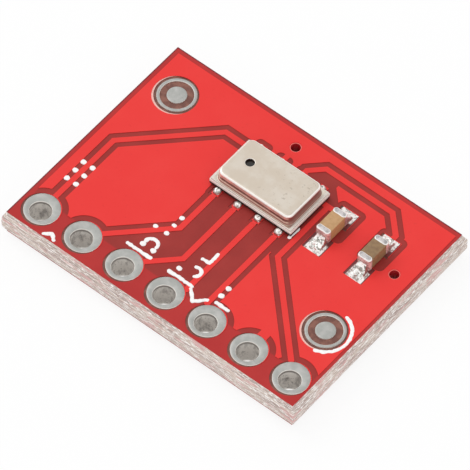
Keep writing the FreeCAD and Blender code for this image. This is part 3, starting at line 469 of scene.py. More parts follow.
# The mask keeps its CAD shape and gets softer edges
def makeMask(face):
    node = "solder_mask_" + face
    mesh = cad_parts[node].data.copy()
    for polygon in mesh.polygons:
        polygon.use_smooth = False
    piece = addPiece("solderMask" + face.capitalize(), mesh, maskFinish, "solder_mask", (node,))
    edge = piece.modifiers.new("softEdge", "BEVEL")
    edge.width = maskLook["softEdge"] * mm
    edge.segments = 2
    edge.limit_method = "ANGLE"
    edge.angle_limit = math.radians(40)


makeMask("top")
makeMask("bottom")
print("masks made")

# Tin of the header holes and of the fiducial targets
tinLook = {
    "flat": (166, 167, 163),
    "pale": (184, 183, 180),
    "dull": (142, 142, 137),
    # painted highlight on the tilted edges of rings and targets
    "edge": (232, 228, 222),
    "wall": (234, 229, 223),
    "wallDark": (170, 164, 159),
    "pit": (96, 86, 80),
    # painted shade at the top of the barrel, under the lip
    "throatShade": (122, 114, 108),
    "throatShadeFrom": (1.38, 1.5),
    "insideFrom": (0.06, 0.2),
    "insideTo": (1.5, 1.6),
}


def paintTin(paint):
    mottle = paint.grain(1.9, 4.0, roughness=0.6)
    pits = paint.grain(9.0, 3.0)
    smear = paint.grain(3.4, 4.0, (1, 1, 0.5), 0.65)
    height = paint.axis("Z")
    inside = paint.band(height, tinLook["insideFrom"], tinLook["insideTo"])
    face = paint.mix(paint.step(mottle, 0.4, 0.7), tinLook["flat"], tinLook["pale"])
    face = paint.mix(paint.step(pits, 0.6, 0.78) * 0.5, face, tinLook["dull"])
    # Painted highlight: parts of the tin that tilt away from the top take the pale edge colour
    face = paint.mix(paint.facing(0.8, 0.97), tinLook["edge"], face)
    wall = paint.mix(paint.step(smear, 0.45, 0.7), tinLook["wall"], tinLook["wallDark"])
    wall = paint.mix(paint.step(pits, 0.62, 0.7) * 0.6, wall, tinLook["pit"])
    # Painted shade: the barrel is darker near its top, under the lip
    wall = paint.mix(paint.step(height, *tinLook["throatShadeFrom"]), wall, tinLook["throatShade"])
    return {"Base Color": paint.mix(inside, face, wall), "Metallic": 0.85 - inside * 0.75,
            "Roughness": 0.42 + mottle * 0.22, "Normal": paint.bump(mottle + pits * 0.5, 0.012, 0.7)}


tinFinish = finish("dullTin", paintTin)

# Solder, the tinned parts of the pads that it wets, and the dark red beside the capacitors, part flux stain
# and part painted shade
solderLook = {
    "pale": (254, 254, 250),
    "dark": (156, 154, 146),
    "speck": (84, 76, 66),
    # painted reflection of the red board on steep solder
    "steepRedReflection": (176, 132, 126),
    "tinned": (253, 251, 248),
    "tinnedDark": (166, 150, 142),
    "tinnedHalf": (0.44, 1.6),
    "tinnedFrom": (0.8, 0.88),  # from a capacitor's middle along its length
    # dark red beside the capacitors: flux stain and painted shade of the bodies
    "flux": (112, 40, 40),
    "fluxShadeHalf": (0.62, 1.6),
    "film": (0.024, 0.04),  # height over the copper where the solder turns thick
}


# Pads: tinned beyond the capacitors' ends, dark red beside them as flux stain and painted shade of the
# bodies, clear flux at the sensor
def soldered(paint):
    crinkle = paint.grain(4.6, 3.0, roughness=0.6, warp=0.8)
    tin = paint.mix(paint.step(crinkle, 0.38, 0.54), solderLook["tinnedDark"], solderLook["tinned"])
    soft = (0.04, 0.1)
    beside, beyond = 0.0, 0.0
    for side in sides:
        spot = middle("capacitor_%s_body" % side)
        beside = beside + paint.patch(spot, solderLook["fluxShadeHalf"], soft)
        pad = paint.patch((spot.x + 0.03, spot.y), solderLook["tinnedHalf"], soft)
        beyond = beyond + pad * paint.step(abs(paint.axis("Y") - spot.y), *solderLook["tinnedFrom"])
    # beside the capacitor bodies the pads are painted dark red, as flux stain and painted shade
    return paint.mix(beyond, paint.mix(beside, maskLook["bright"], solderLook["flux"]), tin)


# Copper: bare at its edges, coated on top, soldered or fluxed where it is a pad
copperLook = {
    "bare": (196, 120, 84),
    "bareDark": (170, 96, 64),
    "coated": (250, 206, 196),
    "coatedDark": (232, 170, 160),
    "targetArea": (1.6, 1.7),  # squared distances from a fiducial target, inside which no pad lies
}


def paintCopper(paint):
    grain = paint.grain(6.0, 3.0)
    coated = paint.step(paint.axis("Z"), copperTop - 0.004, copperTop - 0.001)
    bare = paint.mix(grain, copperLook["bare"], copperLook["bareDark"])
    tone = paint.mix(coated, bare, paint.mix(grain, copperLook["coated"], copperLook["coatedDark"]))
    away = 1.0
    for side in sides:
        spot = middle("fiducial_disc_" + side)
        distance = (paint.axis("X") - spot.x) ** 2 + (paint.axis("Y") - spot.y) ** 2
        away = away * paint.step(distance, *copperLook["targetArea"])
    tone = paint.mix(away * coated, tone, soldered(paint))
    return {"Base Color": tone, "Metallic": 1 - coated, "Roughness": 0.35 + grain * 0.2,
            "Normal": paint.bump(grain, 0.006, 0.8)}


copperFinish = finish("copperFoil", paintCopper)

# Header holes: tinned ring on either face and the plated barrel, one piece of metal each
headerHole = {
    "hole": 0.55,
    "ring": 0.925,
    "opening": 0.975,
    "openingShift": (-0.05, -0.06),
    "around": 96,
    "domed": 0.016,
    "wobble": 0.012,
    "plating": 0.597,
    "barrel": (0.09, 1.54),
    "topEdge": ((0.0, 1.596), (-0.006, 1.606)),
    "topLip": ((0.035, 1.612), (0.014, 1.598), (0.003, 1.575)),
    "bottomLip": ((0.003, 0.055), (0.014, 0.032), (0.04, 0.016)),
    "bottomEdge": ((-0.004, 0.014), (0.0, 0.03)),
}


# From the hole's middle along an angle to a circle that stands off that middle
def toCircle(angle, centreX, centreY, radius):
    along = math.cos(angle) * centreX + math.sin(angle) * centreY
    return along + math.sqrt(along * along - centreX ** 2 - centreY ** 2 + radius ** 2)


# Radius and height of the metal's skin along one angle, from the top of the laminate to its bottom
def holeProfile(angle):
    hole, plating = headerHole["hole"], headerHole["plating"]
    shiftX, shiftY = headerHole["openingShift"]
    upY = rowY - holeY
    under = toCircle(angle, 0, upY, headerHole["ring"])
    outer = min(under, toCircle(angle, shiftX, upY + shiftY, headerHole["opening"]) - 0.004)
    profile = [(plating, 1.55), (outer, bareTop + 0.002)]
    profile += [(outer + grow, z) for grow, z in headerHole["topEdge"]]
    edge, inner = outer - 0.02, hole + 0.06
    for part in range(7):
        share = part / 6
        swell = math.sin(math.pi * (0.1 + 0.85 * share))
        profile.append((edge + (inner - edge) * share, ringTop - headerHole["domed"] * (1 - swell)))
    profile += [(hole + grow, z) for grow, z in headerHole["topLip"]]
    low, high = headerHole["barrel"]
    profile += [(hole, high - part * (high - low) / 12) for part in range(13)]
    profile += [(hole + grow, z) for grow, z in headerHole["bottomLip"]]
    inner, edge = hole + 0.08, under - 0.02
    for part in range(5):
        share = part / 4
        profile.append((inner + (edge - inner) * share, 0.006 * abs(1 - 2 * share)))
    profile += [(under + grow, z) for grow, z in headerHole["bottomEdge"]]
    return profile + [(under, laminateLow.z - 0.002), (plating, 0.08)]


def makeHeaderHole(pin):
    x, around = pinX[pin], headerHole["around"]
    low, high = headerHole["barrel"]
    domed = range(4, 12)  # places of the ring's upper face in the profile
    columns = []
    for step in range(around):
        angle = 2 * math.pi * step / around
        column = []
        for place, (radius, z) in enumerate(holeProfile(angle)):
            pointX = x + radius * math.cos(angle)
            pointY = holeY + radius * math.sin(angle)
            if low + 0.01 < z < high + 0.02 and radius < headerHole["hole"] + 0.01:
                radius += headerHole["wobble"] * (0.5 + wave(pointX, pointY, 2 * z, 3.0, pin))
            elif place in domed:
                z += 0.004 * wave(pointX, pointY, 0, 4.0, pin) - 0.003
            column.append((x + radius * math.cos(angle), holeY + radius * math.sin(angle), min(z, ringTop)))
        columns.append(column)
    points = [point for row in zip(*columns) for point in row]
    faces = bridge(len(columns[0]), around, closed=True)
    meshPiece("headerHole%d" % pin, points, faces, tinFinish, "tin", ("header_hole_%d" % pin,), 50)


for pin in pinX:
    makeHeaderHole(pin)


# Turned pieces: radius and height of each row round a spot, capped or closed into a ring
def turned(name, spot, profile, material, slot, nodes, around=64, closed=False, rough=0.0):
    points = []
    for radius, z in profile:
        for x, y in circle(spot.x, spot.y, radius, around):
            points.append((x, y, z + rough * wave(x, y, z, 5.0, spot.x)))
    faces = bridge(len(profile), around, closed=closed)
    if not closed:
        faces += endCaps(len(points), around)
    meshPiece(name, points, faces, material, slot, nodes, 45)


# Fiducial targets: radius of each row and its height over the rim
fiducial = {
    "Disc": ((0.5, -0.022), (0.494, -0.01), (0.47, -0.003), (0.4, 0.0), (0.25, 0.001), (0.05, 0.001)),
    "Ring": ((1.0, -0.022), (0.992, -0.006), (0.97, 0.0), (0.92, 0.002), (0.868, 0.0), (0.848, -0.008),
             (0.84, -0.022)),
    "underHoles": 0.003,
    "rough": 0.002,
}


def makeTarget(side):
    spot = middle("fiducial_disc_" + side)
    rise = ringTop - fiducial["underHoles"]
    for part, closed in (("Disc", False), ("Ring", True)):
        shape = fiducial[part]
        feet = [(shape[-1][0], bareTop), (shape[0][0], bareTop)]
        profile = (feet if closed else feet[1:]) + [(radius, rise + lift) for radius, lift in shape]
        turned("fiducial" + part + side.capitalize(), spot, profile, tinFinish, "tin",
               ("fiducial_%s_%s" % (part.lower(), side),), closed=closed, rough=fiducial["rough"])


for side in sides:
    makeTarget(side)

# Vias: a plated wall under the mask, with a lighter lip
viaLook = {
    "wall": (206, 40, 46),
    "wallDark": (168, 26, 34),
    "lip": (252, 132, 122),
}


def paintVia(paint):
    mottle = paint.grain(4.0, 3.0)
    lip = paint.step(paint.axis("Z"), 1.585, 1.598)
    wall = paint.mix(mottle, viaLook["wall"], viaLook["wallDark"])
    return {"Base Color": paint.mix(lip, wall, viaLook["lip"]), "Roughness": 0.35 + mottle * 0.2,
            "Normal": paint.bump(mottle, 0.01, 0.5)}


viaFinish = finish("maskedVia", paintVia, Metallic=0.0)


def makeVia(via):
    low, high = nodeBox(via)
    outer, bore = boardBody["viaRadius"], 0.25
    profile = [(outer, high.z - 0.006), (outer - 0.005, high.z), (bore + 0.012, high.z),
               (bore + 0.002, high.z - 0.008), (bore, high.z - 0.03), (bore, low.z + 0.03),
               (bore + 0.006, low.z), (outer, low.z)]
    turned(via.split("_")[0] + "Via", middle(via), profile, viaFinish, "copper", (via,), 40, closed=True)


for via in vias:
    makeVia(via)
print("rings, targets and vias made")

# Printed legend: puffy strokes of white ink, plain marks only
legendInk = {
    "ink": (255, 255, 254),
    "inkDark": (246, 242, 240),
    "width": 0.2,
    "top": 1.638,
    "bottom": 1.583,
    "ragged": 0.045,
    "spacing": 0.03,
    "across": 9,
    "endSteps": 6,
    "dotsY": -1.82,
    "dotsGap": 0.62,
    "besideX": 2.55,
}


def paintInk(paint):
    grain = paint.grain(9.0, 3.0)
    tone = paint.mix(paint.step(grain, 0.45, 0.75), legendInk["ink"], legendInk["inkDark"])
    return {"Base Color": tone, "Roughness": 0.5 + grain * 0.3, "Normal": paint.bump(grain, 0.006, 0.8)}


inkFinish = finish("whiteInk", paintInk, Metallic=0.0)


def resample(path):
    points = [Vector(point) for point in path]
    spaced = [points[0]]
    for start, end in zip(points, points[1:]):
        count = max(1, int((end - start).length / legendInk["spacing"]))
        spaced += [start + (end - start) * step / count for step in range(1, count + 1)]
    return spaced


# A stroke along a path: its spine is rounded off at both ends and its rows arch over it
def inkStroke(path, width, seed):
    line = resample(path)
    half = width / 2
    start, end = (line[0] - line[1]).normalized(), (line[-1] - line[-2]).normalized()
    ends = legendInk["endSteps"]
    quarter = [math.pi / 2 * step / ends for step in range(ends)]
    spine = [(line[0] + start * half * math.cos(angle), math.sin(angle)) for angle in quarter]
    spine += [(point, 1.0) for point in line]
    spine += [(line[-1] + end * half * math.cos(angle), math.sin(angle)) for angle in quarter[::-1]]
    across = legendInk["across"]
    points = []
    for place, (point, share) in enumerate(spine):
        before = spine[max(0, place - 2)][0]
        after = spine[min(len(spine) - 1, place + 2)][0]
        along = (after - before).normalized()
        aside = Vector((-along.y, along.x))
        for step in range(across):
            angle = math.pi * step / (across - 1)
            ragged = legendInk["ragged"] * wave(point.x, point.y, step > across / 2, 6.0, seed)
            spot = point + aside * max(0.004, (half + ragged) * share) * math.cos(angle)
            lift = (math.sin(angle) ** 0.45 if 0 < step < across - 1 else 0.0) * (0.35 + 0.65 * share)
            z = legendInk["bottom"] + (legendInk["top"] - legendInk["bottom"]) * lift
            points.append((spot.x, spot.y, z))
    return points, bridge(len(spine), across) + endCaps(len(points), across)


# Plain marks at the header holes, beside the sensor and round the right target, in this order
def legendPaths():
    width, ring = legendInk["width"], headerHole["ring"]
    bar = rowY + ring + 0.75 * width
    marks = []

    def line(*path):
        marks.append((path, width))

    def arc(x, y, radius, start, sweep, count=16):
        marks.append((arcPath(x, y, radius, start, sweep, count), width))

    def dot(x, y, size):
        marks.append(([(x - 0.02, y), (x + 0.02, y)], size * width))

    for column in (-1, 1):
        for step in range(3):
            dot(pinX[1] + column * 1.4 * width, legendInk["dotsY"] - legendInk["dotsGap"] * step, 1.4)
    gap, tip = (pinX[1] + pinX[2]) / 2, rowY - ring + 0.12
    line((gap - 0.3, tip - 0.25), (gap, tip), (gap + 0.3, tip - 0.25))
    for pin, half in ((3, 0.7), (4, 0.7), (5, 0.35)):
        line((pinX[pin] - half, bar), (pinX[pin] + half, bar))
    arc(pinX[3] + 0.2, bar + 0.65, 0.32, 0, 180)
    dot(pinX[3] - 0.12, bar + 0.42, 1.4)
    dot(pinX[3] + 0.52, bar + 0.42, 1.4)
    for step in range(3):
        dot(pinX[3] + 0.36, bar + 1.6 + 0.58 * step, 1.2)
    dot(pinX[3] - 0.3, bar + 1.6, 1.2)
    dot(pinX[4] - 0.42, bar + 0.42, 1.3)
    arc(pinX[4] + 0.3, bar + 0.75, 0.28, -60, 180)
    corner = pinX[4] + 0.5
    line((corner - 0.4, bar + 1.55), (corner, bar + 1.55), (corner, bar + 2.2))
    notch = (pinX[4] + pinX[5]) / 2
    line((notch - 0.5, bar - 0.15), (notch, bar - 0.65), (notch + 0.5, bar - 0.15))
    for step in range(2):
        dot(pinX[5] - 0.42, bar + 0.45 + 0.55 * step, 1.4)
    line((legendInk["besideX"], baseLow.y - 0.02), (legendInk["besideX"], baseLow.y + 0.62))
    target = middle("fiducial_disc_right")
    arc(target.x, target.y, 1.0 + 1.2 * width, -75, 150, 40)
    return marks


def makeLegend():
    points, faces = [], []
    for place, (path, width) in enumerate(legendPaths()):
        strokePoints, strokeFaces = inkStroke(path, width, 3.7 * place)
        faces += [tuple(corner + len(points) for corner in face) for face in strokeFaces]
        points += strokePoints
    meshPiece("legendInk", points, faces, inkFinish, "legend", ("legend_print",), 60)


makeLegend()
print("legend made")

# Sensor package: satin drawn lid on a ceramic base
lidLook = {
    "metal": (203, 191, 176),
    "pale": (211, 202, 190),
    "worn": (150, 136, 120),
    # painted highlight on the fillet and rounded top edge
    "edge": (248, 244, 238),
    # painted reflection of the rim and red board on the walls
    "wallFrontReflection": (240, 208, 192),
    # painted shade and red reflection on the right-facing wall
    "wallSideShadeAndReflection": (146, 82, 74),
    # painted shade in the crease at the dome's foot
    "foot": (150, 94, 84),
    "footShadeBand": ((2.06, 2.07), (2.1, 2.16)),
    # painted reflection of the board: a dark band across the wall
    "line": (104, 38, 34),
    "reflectionLineBand": ((2.22, 2.26), (2.36, 2.4)),
    "rim": (246, 241, 234),
    "wornFrom": (-1.2, 1.6),
}
sensorLid = {
    "rimHalf": (2.47, 1.47),
    "rimCorner": 0.05,
    "rim": 0.08,
    "rimRound": ((0.012, 0.0), (0.0, 0.012)),
    "rimShoulder": ((0.0, 0.022), (0.007, 0.007), (0.022, 0.0)),
    "domeHalf": (2.25, 1.33),
    "domeCorner": 0.36,
    "domeEdge": 0.13,
    "foot": 0.06,
    "draft": 0.02,
    "wall": 0.1,
    "innerCorner": 0.3,
    "vent": 0.235,
    "ventPlace": (-1.3, 0.1),
    "ventLip": ((0.05, 0.0), (0.026, 0.0), (0.01, 0.006), (0.0, 0.022)),
}


def paintLid(paint):
    haze = paint.grain(1.3, 4.0, roughness=0.6)
    fine = paint.grain(14.0, 3.0)
    specks = paint.grain(4.2, 4.0, roughness=0.7)
    height = paint.axis("Z")
    spots = paint.step(specks, 0.58, 0.68) * paint.step(paint.axis("X"), *lidLook["wornFrom"])
    top = paint.mix(paint.step(haze, 0.35, 0.7), lidLook["metal"], lidLook["pale"])
    top = paint.mix(spots * 0.5, top, lidLook["worn"])
    # Painted reflection: the walls are pink-beige, as if reflecting the rim and the board
    wall = paint.mix(paint.step(fine, 0.4, 0.6) * 0.2, lidLook["wallFrontReflection"], lidLook["foot"])
    # Painted reflection: a dark red-brown band across the middle of the wall
    line = paint.band(height, *lidLook["reflectionLineBand"])
    wall = paint.mix(line * (0.75 + fine * 0.25), wall, lidLook["line"])
    # Painted shade and painted red reflection: walls facing right are dark red
    wall = paint.mix(paint.step(paint.outward("X"), 0.5, 0.8), wall, lidLook["wallSideShadeAndReflection"])
    # Painted highlight: the curved parts of the lid between wall and top are near white
    curved = paint.mix(paint.facing(0.05, 0.3), wall, lidLook["edge"])
    # Painted shade: the crease at the foot of the dome is darker
    foot = paint.band(height, *lidLook["footShadeBand"]) * (1 - paint.facing(0.97, 0.995))
    dome = paint.patch(sensorMiddle, [half + 0.08 for half in sensorLid["domeHalf"]], (0.03, 0.03))
    curved = paint.mix(foot * dome, curved, lidLook["foot"])
    flat = paint.facing(0.88, 0.98)
    rim = paint.mix(haze, lidLook["rim"], lidLook["pale"])
    tone = paint.mix(dome, rim, paint.mix(flat, curved, top))
    return {"Base Color": tone, "Metallic": (0.5 + 0.5 * flat) * (0.2 + 0.8 * dome),
            "Roughness": 0.6 - dome * 0.3 + flat * 0.05 + spots * 0.1,
            "Normal": paint.bump(haze + fine * 0.25, 0.01, 0.5)}


lidFinish = finish("drawnLid", paintLid)


# Rows of the lid from the inside of its top, round the rim's edge and up to its top again
def lidRows(low, high):
    rimX, rimY = sensorLid["rimHalf"]
    domeX, domeY = sensorLid["domeHalf"]
    rimCorner, corner, inner = [sensorLid[key] for key in ("rimCorner", "domeCorner", "innerCorner")]
    edge, foot, draft, wall = [sensorLid[key] for key in ("domeEdge", "foot", "draft", "wall")]
    rimTop = low.z + sensorLid["rim"]
    rows = [(domeX - wall - 0.08, domeY - wall - 0.08, inner - 0.06, high.z - wall),
            (domeX - wall - 0.01, domeY - wall - 0.01, inner, high.z - wall - 0.08),
            (domeX - wall, domeY - wall, inner, low.z), (rimX - 0.03, rimY - 0.03, rimCorner - 0.01, low.z)]
    rows += [(rimX - back, rimY - back, rimCorner, low.z + lift) for back, lift in sensorLid["rimRound"]]
    rows += [(rimX - back, rimY - back, rimCorner, rimTop - drop) for back, drop in sensorLid["rimShoulder"]]
    rows.append((domeX + foot + 0.05, domeY + foot + 0.05, corner + 0.06, rimTop))
    for step in range(6):
        angle = math.pi / 2 * step / 5
        out = foot * (1 - math.sin(angle))
        rows.append((domeX + out, domeY + out, corner + out, rimTop - 0.012 + foot * (1 - math.cos(angle))))
    rows.append((domeX - draft / 2, domeY - draft / 2, corner, (rimTop + high.z - edge) / 2))
    for step in range(9):
        angle = math.pi / 2 * step / 8
        back = draft + edge * (1 - math.cos(angle))
        z = high.z - edge + edge * math.sin(angle)
        rows.append((domeX - back, domeY - back, max(0.1, corner - back * 0.8), z))
    rows.append((domeX - draft - edge - 0.025, domeY - draft - edge - 0.025, 0.2, high.z))
    return rows


def makeLid():
    low, high = nodeBox("sensor_lid")
    wall = sensorLid["wall"]
    rows = lidRows(low, high)
    points = stack(sensorMiddle, rows)
    first = len(points)
    count = first // len(rows)
    faces = bridge(len(rows), count)
    ventX, ventY = [sensorMiddle[place] + sensorLid["ventPlace"][place] for place in (0, 1)]
    lips = sensorLid["ventLip"] + ((0.0, wall - 0.012), (0.008, wall))
    around = 48
    for grow, drop in lips:
        points += [(x, y, high.z - drop) for x, y in circle(ventX, ventY, sensorLid["vent"] + grow, around)]
    faces += bridge(len(lips), around, start=first)
    last = len(points) - around
    faces += cover(points, range(first - count, first), [range(first, first + around)], True)
    faces += cover(points, range(count), [range(last, last + around)], False)
    meshPiece("sensorLid", points, faces, lidFinish, "lid_metal", ("sensor_lid",), 55)


makeLid()


# Block with rounded edges, as rows of rounded loops
def softBlock(name, low, high, edge, material, slot, nodes, corner=None, wobble=0.0, seed=1.0, side=6):
    centre, half = (low + high) / 2, (high - low) / 2
    corner = corner or edge
    quarter = [math.pi / 2 * step / 4 for step in range(5)]
    profile = [(edge * (1 - math.sin(angle)), low.z + edge * (1 - math.cos(angle))) for angle in quarter]
    profile += [(0.0, low.z + (high.z - low.z) * share) for share in (0.25, 0.4, 0.6, 0.75)]
    profile += [(edge * (1 - math.cos(angle)), high.z - edge * (1 - math.sin(angle))) for angle in quarter]
    rows = [(half.x - inset, half.y - inset, max(0.004, corner - inset), z) for inset, z in profile]
    points = []
    for x, y, z in stack(centre, rows, 5, side):
        outX, outY = x - centre.x, y - centre.y
        pull = wobble * (0.5 + wave(x, y, z, 5.0, seed)) / math.hypot(outX, outY)
        points.append((x - outX * pull, y - outY * pull, z))
    count = len(points) // len(rows)
    faces = bridge(len(rows), count) + endCaps(len(points), count)
    meshPiece(name, points, faces, material, slot, nodes, 50)


baseLook = {
    "pale": (252, 248, 243),
    "dark": (238, 230, 222),
    "shade": (46, 36, 34),
    "shadeTop": (1.82, 1.85),
}


def paintBase(paint):
    grain = paint.grain(6.0, 4.0)
    tone = paint.mix(grain, baseLook["pale"], baseLook["dark"])
    tone = paint.mix(paint.step(paint.axis("Z"), *baseLook["shadeTop"]), baseLook["shade"], tone)
    return {"Base Color": tone, "Roughness": 0.4 + grain * 0.2, "Normal": paint.bump(grain, 0.006, 0.5)}


baseFinish = finish("baseCeramic", paintBase, Metallic=0.0)
softBlock("sensorBase", baseLow, baseHigh, 0.02, baseFinish, "base_ceramic", ("sensor_base",), 0.05)


# Solder: bright, crinkled, with dark flux specks, and thin where it only wets a pad
def paintSolder(paint):
    crinkle = paint.grain(4.2, 3.0, roughness=0.6, warp=0.8)
    flux = paint.grain(6.0, 3.0)
    tone = paint.mix(paint.step(crinkle, 0.38, 0.52), solderLook["dark"], solderLook["pale"])
    tone = paint.mix(paint.step(flux, 0.58, 0.66) * 0.7, tone, solderLook["speck"])
    # Painted reflection: steep parts of the solder take a pinkish tone of the red board
    tone = paint.mix(1 - paint.facing(0.3, 0.6), tone, solderLook["steepRedReflection"])
    low, high = solderLook["film"]
    thick = paint.step(paint.axis("Z"), copperTop + low, copperTop + high)
    tone = paint.mix(thick, soldered(paint), tone)
    return {"Base Color": tone, "Metallic": thick * 0.6, "Roughness": 0.2 + flux * 0.2,
            "Normal": paint.bump(crinkle, 0.05, 1.0)}


solderFinish = finish("brightSolder", paintSolder)


# Solder on a pad: a square grid of heights over a rectangle, closed underneath
def solderField(name, low, high, height, nodes, cells):
    stride = cells + 1
    sheet = []
    for row in range(stride):
        for column in range(stride):
            across, along = column / cells, row / cells
            x = low.x + (high.x - low.x) * across
            y = low.y + (high.y - low.y) * along
            sheet.append((x, y, height(x, y, across, along)))
    upper = len(sheet)
    points = [(x, y, copperTop) for x, y, z in sheet] + sheet
    faces = []
    for row in range(cells):
        for column in range(cells):
            near = row * stride + column
            far = near + stride
            faces.append((upper + near, upper + near + 1, upper + far + 1, upper + far))
            faces.append((far, far + 1, near + 1, near))
    ring = list(range(cells)) + [cells + stride * row for row in range(cells)]
    ring += [cells * stride + cells - column for column in range(cells)]
    ring += [stride * (cells - row) for row in range(cells)]
    for corner, after in zip(ring, ring[1:] + ring[:1]):
        faces.append((corner, after, upper + after, upper + corner))
    meshPiece(name, points, faces, solderFinish, "solder", nodes, 70)


# Joint at one land of the sensor: a ball in front of the base and a thin foot under it
sensorJoint = {
    "ballRadius": (0.21, 0.2),
    "ballBack": 0.2,
    "foot": 0.002,
    "underBase": 1.655,
    "cells": 26,
}


def makeSensorJoint(row, land):
    node = "sensor_joint_%s_%d" % (row, land)
    low, high = nodeBox(node)
    spot = middle(node)
    if row == "front":
        outward, face, ballY, seed = -1, baseLow.y, low.y + sensorJoint["ballBack"], 7
    else:
        outward, face, ballY, seed = 1, baseHigh.y, high.y - sensorJoint["ballBack"], 19
    seed += land * 3.1
    radiusX, radiusY = sensorJoint["ballRadius"]

    def height(x, y, across, along):
        ragged = 0.2 * wave(x, y, 0, 4.0, seed)
        ball = max(0.0, 1 - ((x - spot.x) / radiusX) ** 2 - ((y - ballY) / radiusY) ** 2 + ragged)
        crinkle = 0.06 * wave(x, y, 0, 7.0, seed) * ball
        swell = (high.z - copperTop - 0.02) * min(1.0, ball) ** 0.5
        rise = copperTop + sensorJoint["foot"] + swell + crinkle
        clear = (y - face) * outward > 0.004
        return min(rise, high.z if clear else sensorJoint["underBase"])

    name = "solderJoint%s%d" % (row.capitalize(), land)
    solderField(name, low, high, height, (node,), sensorJoint["cells"])


for row in ("front", "back"):
    for land in range(1, 5):
        makeSensorJoint(row, land)
print("sensor made")

# Chip capacitors: tan or dark ceramic between two tinned ends
capacitor = {
    "left": {"name": "tanCeramic", "slot": "light_ceramic", "light": (198, 156, 110),
             "dark": (186, 144, 98), "layers": (166, 122, 80), "endSeed": 5.0, "solderSeed": 3},
    "right": {"name": "darkCeramic", "slot": "dark_ceramic", "light": (150, 120, 84),
              "dark": (136, 106, 74), "layers": (104, 80, 58), "endSeed": 9.0, "solderSeed": 11},
    "bodyInset": (0.002, 0.12, 0.002),
    "bodyEdge": 0.03,
    "endEdge": 0.09,
    "endCorner": 0.16,
    "endWobble": 0.012,
    "solderCells": 48,
}
endLook = {
    "flat": (202, 196, 195),
    "flatDark": (166, 163, 163),
    "flatSpeck": (132, 132, 130),
    # painted reflection of the red board on the end faces
    "side": (236, 206, 200),
    "sideDark": (190, 146, 142),
    "sideSpeck": (120, 70, 70),
    # painted highlight on the rounded edges of the ends
    "edge": (244, 241, 238),
}


def bodyFinish(look):
    def build(paint):
        grain = paint.grain(5.0, 4.0)
        layers = paint.grain(1.0, 2.0, (2.0, 2.0, 24.0))
        tone = paint.mix(paint.step(grain, 0.35, 0.7), look["light"], look["dark"])
        tone = paint.mix(paint.step(layers, 0.5, 0.8) * 0.35, tone, look["layers"])
        return {"Base Color": tone, "Roughness": 0.42 + grain * 0.2, "Normal": paint.bump(grain, 0.008, 0.6)}
    return finish(look["name"], build, Metallic=0.0)


def paintEnds(paint):
    mottle = paint.grain(3.4, 4.0, roughness=0.6)
    fine = paint.grain(12.0, 3.0)
    top = paint.mix(paint.step(mottle, 0.42, 0.6), endLook["flatDark"], endLook["flat"])
    top = paint.mix(paint.step(fine, 0.56, 0.7) * 0.5, top, endLook["flatSpeck"])
    # Painted reflection: the end faces are pinkish, as if reflecting the red board
    side = paint.mix(paint.step(mottle, 0.4, 0.62), endLook["side"], endLook["sideDark"])
    side = paint.mix(paint.step(fine, 0.52, 0.64) * 0.6, side, endLook["sideSpeck"])
    # Painted highlight: the rounded edges of the ends are near white
    side = paint.mix(paint.facing(0.3, 0.62), side, endLook["edge"])
    flat = paint.facing(0.9, 0.985)
    return {"Base Color": paint.mix(flat, side, top), "Metallic": 0.3 + flat * 0.7,
            "Roughness": 0.26 + mottle * 0.24, "Normal": paint.bump(mottle + fine * 0.3, 0.02, 0.8)}


endFinish = finish("tinnedEnd", paintEnds)


def makeCapacitor(side):
    own = capacitor[side]
    body = "capacitor_%s_body" % side
    low, high = nodeBox(body)
    inset = Vector(capacitor["bodyInset"])
    name = "capacitor" + side.capitalize()
    softBlock(name + "Body", low + inset, high - inset, capacitor["bodyEdge"], bodyFinish(own),
              own["slot"], (body,))
    for end in ("front", "back"):
        node = "capacitor_%s_end_%s" % (side, end)
        low, high = nodeBox(node)
        softBlock(name + "End" + end.capitalize(), low, high, capacitor["endEdge"], endFinish, "end_metal",
                  (node,), capacitor["endCorner"], capacitor["endWobble"], own["endSeed"], 10)
        makeFillet(side, end, low, high)


# Solder at a capacitor's end: it climbs the end and thins out over the pad, whose corners it leaves
def makeFillet(side, end, endLow, endHigh):
    node = "capacitor_%s_solder_%s" % (side, end)
    low, high = nodeBox(node)
    seed = capacitor[side]["solderSeed"]
    if end == "front":
        outward, face, outer = -1, endLow.y, low.y
    else:
        outward, face, outer, seed = 1, endHigh.y, high.y, seed + 5
    span = abs(outer - face)

    def height(x, y, across, along):
        beyond = (y - face) * outward
        aside = min(across, 1 - across)
        toe = along if end == "front" else 1 - along
        cut = math.hypot(max(0.0, 0.2 - aside), max(0.0, 0.2 - toe))
        ragged = 0.06 * wave(x, y, 0, 5.0, seed + 2)
        edge = smooth(0.2 - cut + ragged, 0.0, 0.12) * smooth(aside + ragged, 0.0, 0.08)
        if beyond < -0.01:
            return copperTop + 0.028 * edge
        slope = max(0.0, 1 - beyond / span)
        narrow = smooth(0.5 - abs(across - 0.5) + 0.16 * (1 - slope), 0.02, 0.24)
        rise = 0.07 + (high.z - copperTop - 0.08) * slope ** 1.9 * narrow
        crinkle = 0.2 * wave(x, y, 0, 3.2, seed) + 0.09 * wave(x, y, 0, 7.0, seed)
        rise += crinkle * (0.35 + 0.65 * (1 - slope))
        return copperTop + max(0.03, min(rise, high.z - copperTop)) * max(0.05, edge)

    name = "capacitor%sSolder%s" % (side.capitalize(), end.capitalize())
    solderField(name, low, high, height, (node,), capacitor["solderCells"])


for side in sides:
    makeCapacitor(side)
print("capacitors made")

